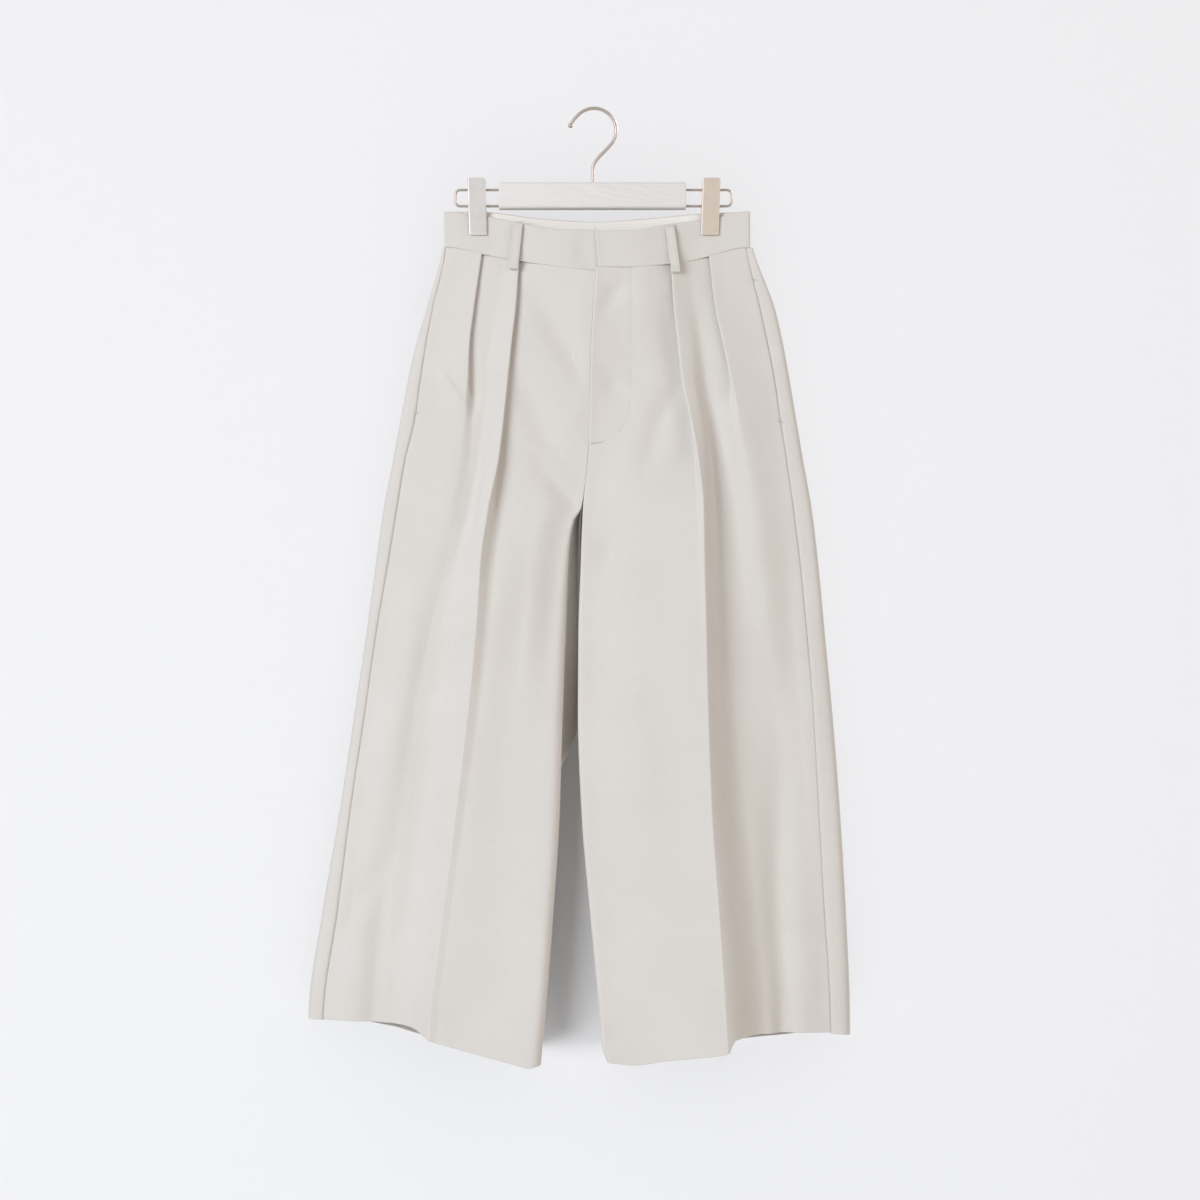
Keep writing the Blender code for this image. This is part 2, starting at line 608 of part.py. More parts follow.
def band_points(places, top, low, seam, height=lambda x: BAND_HEIGHT, drop=0.0, shift=lambda x: 0.0):
    """The band's middle surface over the given x, from its top edge to its lower one."""
    rows = []
    for part in np.linspace(0, 1, 4):
        row = []
        for x in places:
            below_top = drop + height(x) * part
            down = below_top / BAND_HEIGHT
            row.append((x, BAND(top, x) * (1 - down) + BAND(low, x) * down + shift(x),
                        seam("seam", x) + BAND_HEIGHT - below_top))
        rows.append(row)
    return np.array(rows)


def with_turned_end(points, end_x, first):
    """Carry a band round the corner at the side, to the side seam at y = 0."""
    edge = points[:, 0 if first else -1]
    side, face = math.copysign(1, end_x), math.copysign(1, edge[0, 1])
    radius = np.abs(edge[:, 1]) - BAND_SIDE_GAP / 2
    turned_in = []
    for angle in (math.radians(a) for a in (30, 60, 90)):
        column = edge.copy()
        column[:, 0] = end_x - side * (BAND_CLOTH / 2 + radius * (1 - math.sin(angle)))
        column[:, 1] = face * (BAND_SIDE_GAP / 2 + radius * math.cos(angle))
        turned_in.append(column)
    columns = [points[:, j] for j in range(points.shape[1])]
    return np.stack(turned_in[::-1] + columns if first else columns + turned_in, axis=1)


def ease(x, start, stop):
    """A smooth step from 0 to 1."""
    t = min(max((x - start) / (stop - start), 0.0), 1.0)
    return t * t * (3 - 2 * t)


def build_waistband():
    left_places = np.concatenate((np.linspace(-146, -30, 11), np.linspace(-22, LAP_EDGE_X, 5),
                                  (12.0, LAP_UNDER_X)))
    left = band_points(left_places, "front_top", "front_low", WAIST_FRONT_LEFT,
                       height=lambda x: BAND_HEIGHT - LAP_SHORTER * ease(x, LAP_RAMP[1], LAP_EDGE_X),
                       shift=lambda x: LAP_STEP * ease(x, *LAP_RAMP))
    wall("waistband_front_left", with_turned_end(left, BAND_ENDS[0], True), BAND_CLOTH, "cloth")

    right = band_points(np.linspace(1, 152, 15), "front_top", "front_low", WAIST_FRONT_RIGHT)
    right[:, 0, 0] += np.linspace(0.0, 3.4, len(right))
    wall("waistband_front_right", with_turned_end(right, BAND_ENDS[1], False), BAND_CLOTH, "cloth")

    places = np.linspace(-146, 152, 21)
    back = band_points(places, "back_top", "back_low", WAIST_BACK)
    back = with_turned_end(with_turned_end(back, BAND_ENDS[0], True), BAND_ENDS[1], False)
    wall("waistband_back", back, BAND_CLOTH, "cloth")

    inside = -(BAND_CLOTH / 2 + SEAM_GAP + FACING_CLOTH / 2)
    facing = band_points(places[1:-1], "back_top", "back_low", WAIST_BACK, height=lambda x: FACING_HEIGHT,
                         drop=FACING_DROP, shift=lambda x: inside)
    wall("waistband_facing", facing, FACING_CLOTH, "facing")


def front_depth(leg, x, z):
    """y of a front's middle surface at x, between its crease and its inner edge."""
    places = [section_point for stretch in ("inner", "edge")
              for section_point in (front_section(leg, z, stretch, t) for t in np.linspace(0, 1, 9))]
    along = np.array(sorted(places))
    return np.interp(x, along[:, 0], along[:, 1])


def build_fly_shield():
    """The strip behind the fly, from the points of the two fronts, moved back."""
    rows = []
    top = WAIST_FRONT_RIGHT("seam", 0) - 2 * WAIST_GAP - 3
    for z in np.linspace(top, top - SHIELD_LENGTH, 7):
        centre = LEFT_LINES("inner", z)
        rows.append([(x, front_depth(LEGS[0] if x < centre else LEGS[1], x, z) + SHIELD_BACK, z)
                     for x in centre + np.linspace(SHIELD_X[0], SHIELD_X[1], 6)])
    wall("fly_shield", np.array(rows), CLOTH, "cloth")


def build_belt_loop(name, x_top, x_low, seam, face, side):
    """A loop: a strip that stands off the band between its two sewn ends."""
    half = LOOP_CLOTH / 2
    foot = seam("seam", x_low) - LOOP_BELOW_SEAM
    down = np.array((0.0, 0.10, 0.20, 0.5, 0.80, 0.90, 1.0))
    stand = np.array((0.0, 0.25, 1.0, 1.0, 1.0, 0.25, 0.0)) * LOOP_STAND
    z = foot + LOOP_LENGTH * (1 - down)
    x = x_top + (x_low - x_top) * down
    outer, inner = [], []
    for k in range(len(down)):
        base = side * (face(x[k], z[k]) + LOOP_GAP + stand[k])
        for grid, reach in ((inner, 0.0), (outer, 2 * half)):
            grid.append([(x[k] + w, base + side * reach, z[k]) for w in (-LOOP_WIDTH / 2, LOOP_WIDTH / 2)])
    solid_between(name, np.array(outer), np.array(inner), "cloth")


def front_face(x, z):
    """How far the front band's or the front's outer face stands forward at x, for its loops."""
    seam = WAIST_FRONT_LEFT("seam", x) if x < 0 else WAIST_FRONT_RIGHT("seam", x)
    down = min(max((seam + BAND_HEIGHT - z) / BAND_HEIGHT, 0.0), 1.0)
    band = -(BAND("front_top", x) * (1 - down) + BAND("front_low", x) * down) + BAND_CLOTH / 2
    if z > seam:
        return band
    lead = (LEFT_DEPTHS if x < 0 else RIGHT_DEPTHS)("crease", z)
    return max(band, -lead + CLOTH / 2 + LAYER / 2)


def back_face(x, z):
    """How far the back band's or the back's outer face stands back at x, for its loops."""
    seam = WAIST_BACK("seam", x)
    down = min(max((seam + BAND_HEIGHT - z) / BAND_HEIGHT, 0.0), 1.0)
    band = BAND("back_top", x) * (1 - down) + BAND("back_low", x) * down + BAND_CLOTH / 2
    if z > seam:
        return band
    return max(band, BACKS("corner", z) + CLOTH / 2 + 0.3)


def build_belt_loops():
    build_belt_loop("belt_loop_front_left", -75.2, -80.2, WAIST_FRONT_LEFT, front_face, -1)
    build_belt_loop("belt_loop_front_right", 75.4, 81.6, WAIST_FRONT_RIGHT, front_face, -1)
    for name, x in (("left", -82.0), ("centre", -1.0), ("right", 84.0)):
        build_belt_loop("belt_loop_back_" + name, x, x, WAIST_BACK, back_face, 1)


# ---------------------------------------------------------------- hanger

def build_hook():
    """The hook: a ball end, most of a circle and a bend down to the stem."""
    centre = (0.0, -HOOK_RADIUS + HOOK_WIRE / 2)
    bend = arc(centre, HOOK_RADIUS, 138, -28, 16)
    tip = [(-24.2, -17.2), (-23.6, -15.8), (-22.4, -13.2), (-20.2, -9.6)]
    start, stop = np.array(bend[-1]), np.array((STEM_X, -60.0))
    reach = 34.0
    way_in = np.array((math.cos(math.radians(-118)), math.sin(math.radians(-118))))
    down = np.array((0.0, -1.0))
    sweep = []
    for t in np.linspace(0, 1, 10)[1:]:
        sweep.append((1 + 2 * t) * (1 - t) ** 2 * start + t * t * (3 - 2 * t) * stop
                     + reach * (t * (1 - t) ** 2 * way_in + t * t * (t - 1) * down))
    path = tip + bend + [tuple(p) for p in sweep] + [(STEM_X, -68.0), (STEM_X, STEM_FOOT)]
    radii = [HOOK_WIRE / 2] * len(path)
    radii[:3] = [HOOK_BALL * 0.22, HOOK_BALL / 2, HOOK_BALL * 0.42]
    tube("hanger_hook", [(x, 0.0, z) for x, z in path], radii, 8, "steel")


def build_bar():
    """The wooden bar, with two grooves along its back for the wire frame and a hole for the stem."""
    half, low, high = BAR_DEPTH / 2, BAR_Z[0], BAR_Z[1]
    outline = []
    for centre, start in (((-half + BAR_ROUND, low + BAR_ROUND), 180),
                          ((half - BAR_ROUND / 2, low + BAR_ROUND / 2), 270),
                          ((half - BAR_ROUND, high - BAR_ROUND), 0),
                          ((-half + BAR_ROUND, high - BAR_ROUND), 90)):
        radius = BAR_ROUND if start != 270 else BAR_ROUND / 2
        outline += arc(centre, radius, start, start + 90, 3)
        if start == 270:
            for wire in FRAME_Z:
                outline += [(half, wire - GROOVE / 2), (-GROOVE / 2, wire - GROOVE / 2),
                            (-GROOVE / 2, wire + GROOVE / 2), (half, wire + GROOVE / 2)]
    bar = prism("hanger_bar", outline, BAR_X, "wood")
    bpy.ops.mesh.primitive_cylinder_add(
        vertices=12, radius=(HOOK_WIRE / 2 + SEAM_GAP) * MM, depth=STEM_BORE * MM,
        location=(STEM_X * MM, 0, (STEM_FOOT - SEAM_GAP + STEM_BORE / 2) * MM))
    bore = bpy.context.object
    bore.name = "stem_bore"
    hide(bore)
    cut = bar.modifiers.new("stem bore", "BOOLEAN")
    cut.operation, cut.solver, cut.object = "DIFFERENCE", "EXACT", bore


def build_frame():
    """The wire frame: a long rounded rectangle."""
    (x0, x1), (z0, z1), r = FRAME_X, FRAME_Z, FRAME_CORNER
    path = []
    for centre, start in (((x1 - r, z1 - r), 90), ((x1 - r, z0 + r), 0),
                          ((x0 + r, z0 + r), -90), ((x0 + r, z1 - r), -180)):
        path += arc(centre, r, start, start - 90, 4)
    ring_tube("hanger_frame", [(x, 0.0, z) for x, z in path], FRAME_WIRE / 2, 8, "steel")


def hide(tool):
    """Mark an object that only shapes another."""
    tool.hide_render = True
    tool.display_type = "WIRE"
    return tool


def clip_plate(name, x, side, flange_x):
    """A plate with a flange at each edge, notched over the two wires."""
    low, high = CLIP_Z
    shape = Table(
        "z     stand",
        (low, 5.7), (low + 10, 5.7), (-110.0, 5.8), (-103.0, 6.5), (-94.0, 7.0), (-84.0, 7.0), (high, 7.8),
    )
    heights = np.array((low, low + 10, -110.0, -103.0, -94.0, -84.0, -76.0, high))
    stands = shape("stand", heights)
    half = CLIP_WIDTH / 2
    across = ((-half, -0.3), (1 - half, 0.0), (half - 1, 0.0), (half, -0.3))
    outer = np.array([[(x + w, side * (stand + lift), z) for w, lift in across]
                      for z, stand in zip(heights, stands)])
    plate = solid_between(name, outer, outer - np.array((0.0, side * CLIP_PLATE, 0.0)), "plate")
    reach, deep = -side * 2.6, side * (FRAME_WIRE / 2 + SEAM_GAP)
    outline = [(side * (shape("stand", z) - CLIP_PLATE * 0.7), z) for z in (-100.5, -94.0, -84.0, -76.5)]
    outline.append((reach, -76.5))
    for wire in reversed(FRAME_Z):
        outline += [(reach, wire + GROOVE / 2), (deep, wire + GROOVE / 2),
                    (deep, wire - GROOVE / 2), (reach, wire - GROOVE / 2)]
    outline.append((reach, -100.5))
    for edge in (-1, 1):
        centre = x + edge * flange_x
        ends = centre - CLIP_PLATE / 2, centre + CLIP_PLATE / 2
        flange = hide(prism(name + "_flange", outline, ends, "plate"))
        join = plate.modifiers.new("flange", "BOOLEAN")
        join.operation, join.solver, join.object = "UNION", "EXACT", flange


def sleeve(name, centre, inner, outer, length, sides, kind):
    """A short tube round a wire that runs along x."""
    x, z = centre
    half = length / 2
    bm = bmesh.new()
    rings = []
    for along, radius in ((-half, inner), (-half, outer), (half, outer), (half, inner)):
        corners = [(radius * math.cos(a), z + radius * math.sin(a))
                   for a in (math.tau * k / sides for k in range(sides))]
        rings.append([bm.verts.new(((x + along) * MM, y * MM, height * MM)) for y, height in corners])
    skin(bm, rings + rings[:1])
    return finish(name, bm, kind)


def build_clips():
    """Each clip: two plates whose flanges hold the wires, and a spring round the lower wire."""
    bore = FRAME_WIRE / 2 + SEAM_GAP
    for name, x in zip(("left", "right"), CLIP_X):
        clip_plate("clip_" + name + "_front", x, -1, CLIP_WIDTH / 2 - 0.6)
        clip_plate("clip_" + name + "_back", x, 1, CLIP_WIDTH / 2 - 2.1)
        sleeve("clip_" + name + "_spring", (x, FRAME_Z[0]), bore, bore + SPRING_WIRE, 11.0, 10, "steel")


def main():
    for old in list(bpy.data.objects):
        bpy.data.objects.remove(old)
    build_legs()
    build_waistband()
    build_fly_shield()
    build_belt_loops()
    build_hook()
    build_bar()
    build_frame()
    build_clips()


main()
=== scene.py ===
import math

import bmesh
import bpy
import numpy as np
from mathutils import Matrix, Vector
from mathutils.bvhtree import BVHTree


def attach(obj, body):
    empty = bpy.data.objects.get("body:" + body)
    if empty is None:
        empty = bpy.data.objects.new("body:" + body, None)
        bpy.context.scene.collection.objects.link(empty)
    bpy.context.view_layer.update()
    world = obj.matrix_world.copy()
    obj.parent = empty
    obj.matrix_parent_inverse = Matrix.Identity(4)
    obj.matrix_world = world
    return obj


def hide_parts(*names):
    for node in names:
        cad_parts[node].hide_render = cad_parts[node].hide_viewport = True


# Sizes are in millimetres, +Z is up and the front faces -Y. The origin is the inner top of the hook.
# Left and right are those of someone who looks at the front.
mm = 0.001

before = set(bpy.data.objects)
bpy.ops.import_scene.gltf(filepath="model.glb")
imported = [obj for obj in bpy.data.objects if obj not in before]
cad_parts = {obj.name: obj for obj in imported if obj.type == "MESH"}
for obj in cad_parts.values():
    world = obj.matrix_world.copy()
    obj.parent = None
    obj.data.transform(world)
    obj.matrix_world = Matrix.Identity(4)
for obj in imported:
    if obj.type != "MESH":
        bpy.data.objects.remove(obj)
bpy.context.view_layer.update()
print("frame loaded,", len(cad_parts), "nodes")


# Tables and curves

def weights(t):  # of a cubic's two ends, and of its two slopes
    return (1 + 2 * t) * (1 - t) ** 2, t * t * (3 - 2 * t), t * (1 - t) ** 2, t * t * (t - 1)


def levelCubic(knots, values, place):  # a cubic through the knots that never overshoots them
    step = np.diff(knots)
    rise = np.diff(values) / step
    slope = np.zeros(len(knots))
    slope[0], slope[-1] = rise[0], rise[-1]
    before, after = rise[:-1], rise[1:]
    same = before * after > 0
    slope[1:-1][same] = 2 * before[same] * after[same] / (before + after)[same]
    place = np.clip(place, knots[0], knots[-1])
    i = np.clip(np.searchsorted(knots, place) - 1, 0, len(step) - 1)
    a, b, c, d = weights((place - knots[i]) / step[i])
    return a * values[i] + c * step[i] * slope[i] + b * values[i + 1] + d * step[i] * slope[i + 1]


def lengths(line):  # from the start of a line to each of its points
    return np.concatenate(((0,), np.cumsum(np.linalg.norm(np.diff(line, axis=0), axis=1))))


def numbers(text):  # rows of numbers, parted by semicolons
    return [[float(word) for word in row.split()] for row in text.split(";")]


class Table:  # named columns, read at any place along the first one
    def __init__(self, columns, *rows):
        self.names = columns.split()
        self.rows = np.array(sorted(numbers(";".join(rows))))

    def __call__(self, name, place):
        return levelCubic(self.rows[:, 0], self.rows[:, self.names.index(name)], place)


def smooth(value, start, stop):  # a step from 0 to 1, also downwards
    t = np.clip((value - start) / (stop - start), 0, 1)
    return t * t * (3 - 2 * t)


# The cut: where each line of the legs lies, from the front and from the side

cloth = {
    "thickness": 1.0,
    "rimRound": 0.32,       # how far in from an edge the wall reaches its full thickness
    "seamTrim": -0.2,       # minus: the pieces meet in their seams
    "waistGap": -0.3,
    "crotchZ": -400.0,
    "growth": 120,          # how far below the crotch the inner edges' bends keep growing
    "straight": 3.0,        # of the cloth ahead of a pleat's bend, at the least
    "ends": (-145.0, -925.0),   # the heights that place a column along the waist seam and the hem
    "lengths": (250, 520),  # of a leg above and below the crotch
    "fineRows": (0.0, 0.3, 0.8, 1.6),
    "rows": (120, 170),     # above and below the crotch
    "backRows": (80, 120),
}

leftLines = Table(
    "z outline side pleat dip crease middle inner",
    "-130 -149.3 -148.4 -110.5 -94 -73.6 -35 3.6",
    "-140 -151 -148.9 -111.7 -95 -74.2 -36 3.6",
    "-200 -167.6 -161.5 -120 -103 -78.2 -38 0",
    "-235 -177.8 -168 -124.1 -106 -82.1 -40 -2.3",
    "-270 -185.8 -173.3 -125.6 -109 -85.6 -42 -3.1",
    "-310 -193.5 -179.1 -128 -112 -89.7 -44 -3.7",
    "-350 -200.8 -188.6 -132 -116 -94.6 -47 -5.9",
    "-398 -210.1 -196.7 -142 -125 -104.5 -54 -12.5",
    "-410 -212 -198.6 -145 -128.2 -106.5 -56 -20",
    "-430 -214.8 -201.8 -150.6 -134.6 -109.7 -59.2 -24.2",
    "-450 -217.5 -205 -156 -141 -112 -62 -25.8",
    "-520 -227 -217 -173 -160 -116.5 -68 -28.8",
    "-600 -238.8 -228.3 -190 -170 -124 -76 -32",
    "-700 -254 -243.1 -205 -182 -135.5 -84 -34.6",
    "-800 -271.2 -255.9 -222 -195 -148 -94 -40.9",
    "-900 -285.4 -269.8 -232 -203 -160 -104 -48.8",
    "-960 -287 -271.5 -234 -203 -163.5 -108 -54",
)
rightLines = Table(
    "z outline side pleat dip crease middle inner",
    "-130 156.5 152 113.5 96 75.6 40 3.6",
    "-140 158.9 153.1 114.7 97 76.2 40 3.6",
    "-200 181.2 166.6 121.5 103 80 41 0",
    "-235 189.3 174.1 129 108 83.8 42 -2.3",
    "-270 195.7 180.8 136.2 112 87.6 43 -3.1",
    "-310 202.5 186.5 144 118 95.5 45 -3.7",
    "-350 209.3 192.7 151 122 102.5 47 -5.9",
    "-398 217.7 199.4 158 126 107.8 49 -10.8",
    "-450 224 205.8 164 129 108.6 49 -12.8",
    "-520 230.7 212.6 174 133 110.3 49 -15",
    "-600 238.3 219.1 190 140 112 49 -15.5",
    "-700 246.1 224.6 195 151 115.6 52 -11.9",
    "-800 252 230.2 196 162 122.5 58 -3.3",
    "-890 255.8 235.8 200 170 128.6 64.5 5.2",
    "-928 256.3 236.6 200 172 130.5 68 8.3",
    "-946 256.5 237 200 172.5 131.5 70 14",
    "-960 256.6 237.2 200 173 132 71 18",
)
leftDepths = Table(
    "z side pleat dip crease middle inner",
    "-130 -1.2 -3.2 -3.2 -9 -13.2 -15.2",
    "-140 -1.3 -3.4 -3.4 -9.2 -13.3 -15.4",
    "-200 -3 -9 -6 -14 -13.6 -16.5",
    "-235 -3.5 -12 -7.5 -17.5 -14 -16.5",
    "-270 -4 -13.5 -8 -20 -14.4 -16",
    "-310 -4 -12.5 -9 -23 -15 -15.5",
    "-350 -4 -11.5 -9.5 -26 -16.6 -14",
    "-398 -4 -11.5 -10 -30 -19.4 -13",
    "-450 -4.5 -12 -11 -33 -23 -16",
    "-520 -4.5 -13 -12.5 -36 -28.5 -21",
    "-600 -5 -14.5 -14 -40 -36 -36.5",
    "-700 -5.5 -15.5 -15.5 -45.5 -43 -46.5",
    "-800 -5.5 -15.5 -16.5 -51 -50.5 -55.5",
    "-900 -6 -14 -17 -56.5 -57 -62.5",
    "-960 -6 -13 -17 -58.5 -59 -65",
)
rightDepths = Table(
    "z side pleat dip crease middle inner",
    "-130 -1.2 -3.2 -3.2 -9 -13.2 -15.2",
    "-140 -1.3 -3.4 -3.4 -9.2 -13.4 -15.4",
    "-200 -3 -9 -6 -14 -13.6 -16.5",
    "-235 -3.5 -12 -7 -18 -14 -16.5",
    "-270 -4 -13.5 -7.5 -22 -15 -16",
    "-310 -4 -13.5 -8 -27 -17 -15.5",
    "-350 -4.5 -13 -8.5 -31 -20 -14",
    "-398 -5 -12.5 -9 -35 -24 -13",
    "-450 -5 -12 -9.5 -38 -28 -16",
    "-520 -5.5 -10.5 -11 -41 -32.5 -21",
    "-600 -6 -9.5 -13 -44 -37 -27",
    "-700 -6 -10 -16 -49 -42 -34",
    "-800 -6 -12 -19 -54 -46 -40",
    "-900 -6.5 -14 -24 -59 -49 -45",
    "-960 -6.5 -15 -27 -61 -50 -46",
)
# The outer pleat: heading before it, how far it turns, its tuck, the bends' radii, heading after,
# and the heading at the dip between the pleats
outerPleat = Table(
    "z lead turn tuck bend under leave through",
    "-130 8 180 13 0.9 0.9 8 14",
    "-190 14 180 11 0.9 0.9 6 6",
    "-235 15 172 8 0.9 1 6 1",
    "-270 16 130 4 1.2 1.6 2 1",
    "-310 14 40 4 5 6 -2 1",
    "-370 6 16 4 20 20 -4 1",
    "-450 2 8 5 40 40 -3 1",
    "-960 0 6 5 50 50 -3 1",
)
# The inner pleat, which runs on as the pressed crease
leftCrease = Table(
    "z lead turn tuck bend under leave",
    "-130 18 180 14 0.9 0.9 16",
    "-200 24 180 12 0.9 0.9 6",
    "-270 27 178 9 0.9 1.2 4",
    "-330 31 165 7 0.9 2 3",
    "-380 34 125 8 1 4 6",
    "-420 37 96 9 1.1 8 10",
    "-520 36 70 7 1.2 12 8",
    "-650 42 60 6 1.2 12 4",
    "-800 50 60 5 1.2 12 3",
    "-960 58 66 5 1.2 12 2",
)
rightCrease = Table(
    "z lead turn tuck bend under leave",
    "-130 18 180 14 0.9 0.9 16",
    "-200 24 180 11 0.9 0.9 5",
    "-270 31 174 8 0.9 1.2 3",
    "-330 36 146 7 0.9 2 0",
    "-380 42 102 6 1 4 -4",
    "-420 46 74 5 1.1 8 -10",
    "-520 48 64 4 1.2 12 -10",
    "-650 44 56 4 1.2 14 -9",
    "-800 34 44 4 1.4 14 -7",
    "-960 28 36 4 1.4 14 -5",
)
backDepths = Table(
    "z outline shoulder crease corner frontSeam backSeam",
    "-130 0.6 2.6 5.4 9.6 -12.4 6.4",
    "-140 0.6 3 6 10.4 -12.4 7.4",
    "-200 3 8 14 17 -13.9 14.4",
    "-270 4.5 12 20 22 -13.4 19.4",
    "-310 5 13 23 23.5 -12.6 20.5",
    "-340 5 13.5 25 24 -9.5 20",
    "-375 5 14 27 23 -5.5 13",
    "-400 5 14 28 21 1 1.6",
    "-450 5.5 14.5 30 19 1 1.6",
    "-600 5.5 15 32 18 -1 -0.4",
    "-750 6 15 33 18 -6 -5.4",
    "-960 6 15 34 16 -12 -11.4",
)
leftInside = Table(
    "z corner backSeam frontSeam",
    "-130 0.4 0.4 3.6",
    "-200 -1.6 -1.6 0",
    "-270 -3 -3 -3.1",
    "-350 -5.9 -5.9 -5.9",
    "-400 -13.2 -13 -13",
    "-412 -14.2 -19 -19",
    "-450 -15.2 -24.5 -24.5",
    "-520 -15.7 -27.5 -27.5",
    "-620 -16.2 -31 -31",
    "-638 -22 -32 -32",
    "-660 -33 -33.6 -33.6",
    "-700 -37.5 -36.5 -36.5",
    "-760 -41 -40 -40",
    "-960 -57.5 -56.5 -56.5",
)
rightInside = Table(
    "z corner backSeam frontSeam",
    "-130 0.4 0.4 3.6",
    "-200 -1.6 -1.6 0",
    "-270 -3 -3 -3.1",
    "-350 -5.9 -5.9 -5.9",
    "-400 -12.5 -10.9 -10.9",
    "-450 -14.8 -12.8 -12.8",
    "-630 -15.2 -13.8 -13.8",
    "-700 -9 -9.4 -9.4",
    "-800 -1.6 -1.8 -1.8",
    "-900 8 8 8",
    "-960 19.5 19.5 19.5",
)
backCreases = Table(
    "z left right",
    "-130 -72 74",
    "-400 -105 108",
    "-960 -168 132",
)
# Heights along x: the waist seam in front and behind, and the hems
waistLeft = Table(
    "x seam",
    "-150 -137.9; -145 -137.9; -113 -144.4; -87 -150; -42 -157.7; -10 -161.8; 5 -162.7; 30 -162.7",
)
waistRight = Table(
    "x seam",
    "-5 -158.9; 37 -159.1; 72 -155.8; 88 -153.6; 115 -146.9; 130 -142.4; 141 -139.6; 150 -138.2; 157 -138",
)
waistBack = Table(
    "x seam",
    "-150 -137.9; -145 -137.9; -105 -138.6; -55 -144; 0 -147; 55 -144; 105 -140; 150 -138.2; 157 -138",
)
hemLeft = Table(
    "x front back",
    "-290 -908.5 -908.5; -268 -908.5 -908.5; -205 -910 -920; -178 -912.5 -929; -163 -920 -933",
    "-130 -929.6 -936; -97 -938.2 -940; -72 -944 -944; -62 -946.4 -945; -50 -944 -944; -48 -944 -944",
)
hemRight = Table(
    "x front back",
    "5 -944 -944; 14 -945 -945; 34 -946.7 -943; 66 -942.4 -939; 98 -938 -935; 131.5 -932.8 -936.5",
    "136.4 -921.8 -936; 147 -920 -934.4; 162 -919.8 -932; 182 -919.9 -928.8; 208 -920.4 -925.6",
    "234 -921.3 -922.6; 257 -924.4 -924.4",
)

legs = {
    "left": {"inward": 1, "lines": leftLines, "depths": leftDepths, "crease": leftCrease,
             "inside": leftInside, "waist": waistLeft, "hem": hemLeft, "innerHeading": 2, "innerBend": 8.0},
    "right": {"inward": -1, "lines": rightLines, "depths": rightDepths, "crease": rightCrease,
              "inside": rightInside, "waist": waistRight, "hem": hemRight, "innerHeading": -6, "innerBend": 3.0},
}


# Sections in plan

def heading(angle, inward):  # the direction at an angle towards the front from the inward one
    angle = np.radians(angle)
    return np.cos(angle) * inward, -np.sin(angle)


def span(start, end, lead, leave, inward, t, pull=1.0):  # a cubic between two points and headings
    chord = pull * np.hypot(end[0] - start[0], end[1] - start[1])
    first, last = heading(lead, inward), heading(leave, inward)
    a, b, c, d = weights(t)
    return tuple(a * start[k] + b * end[k] + chord * (c * first[k] + d * last[k]) for k in (0, 1))


def turned(start, radius, lead, turn, inward, t):  # along an arc that turns back by an angle
    way = heading(lead - turn * t / 2, inward)
    chord = 2 * radius * np.abs(np.sin(np.radians(turn * t / 2)))
    return start[0] + chord * way[0], start[1] + chord * way[1]


class Pleat:  # a fold at a given edge: a bend, a tuck behind it and a bend back
    def __init__(self, place, table, z, inward):
        read = {name: table(name, z) for name in table.names[1:]}
        self.inward, self.lead, self.leave = inward, read["lead"], read["leave"]
        self.turn, self.bend, self.under = read["turn"], read["bend"], read["under"]
        self.start = 0, 0
        toEdge = self.point("bend", 0.5)
        self.start = place[0] - toEdge[0], place[1] - toEdge[1]
        straight = cloth["straight"] + read["tuck"] * np.clip((self.turn - 90) / 60, 0, 1)
        way = heading(self.lead, inward)
        self.near = self.start[0] - straight * way[0], self.start[1] - straight * way[1]
        self.top = self.point("bend", 1)
        way = heading(self.lead - self.turn, inward)
        self.foot = self.top[0] + read["tuck"] * way[0], self.top[1] + read["tuck"] * way[1]
        self.end = self.point("under", 1)

    def point(self, part, t):
        if part == "bend":
            return turned(self.start, self.bend, self.lead, self.turn, self.inward, t)
        if part == "under":
            back = self.leave - (self.lead - self.turn)
            return turned(self.foot, self.under, self.lead - self.turn, -back, self.inward, t)
        first, last = (self.near, self.start) if part == "near" else (self.top, self.foot)
        return tuple(first[k] + (last[k] - first[k]) * t for k in (0, 1))


# Each section's stretches from the side seam inwards, with the steps in each
frontStretches = (
    ("side", 18), ("outer bend", 8), ("outer tuck", 3), ("outer under", 6), ("dip", 8), ("rise", 9),
    ("crease near", 3), ("crease bend", 9), ("crease tuck", 3), ("crease under", 8),
    ("inner", 18), ("edge", 11), ("turn", 5), ("seam", 2),
)
backStretches = (("wrap", 9), ("shoulder", 6), ("outer", 22), ("inner", 26), ("turn", 6), ("seam", 4))


def innerCorner(leg, z, place, growth, lead, turn, seam):  # the bend at an inner edge, and the way on to the seam
    inward = leg["inward"]
    halfGap = inward * cloth["thickness"] / 2
    bend = 1.0 + growth * np.clip((cloth["crotchZ"] - z) / cloth["growth"], 0, 1)
    start = place[0] - halfGap - inward * bend, place[1]
    end = leg["inside"](seam, z) - halfGap, backDepths(seam, z)
    return (lambda t: turned(start, bend, lead, turn, inward, t),
            lambda t: span(turned(start, bend, lead, turn, inward, 1), end, lead - turn, lead - turn, inward, t, 0.5))


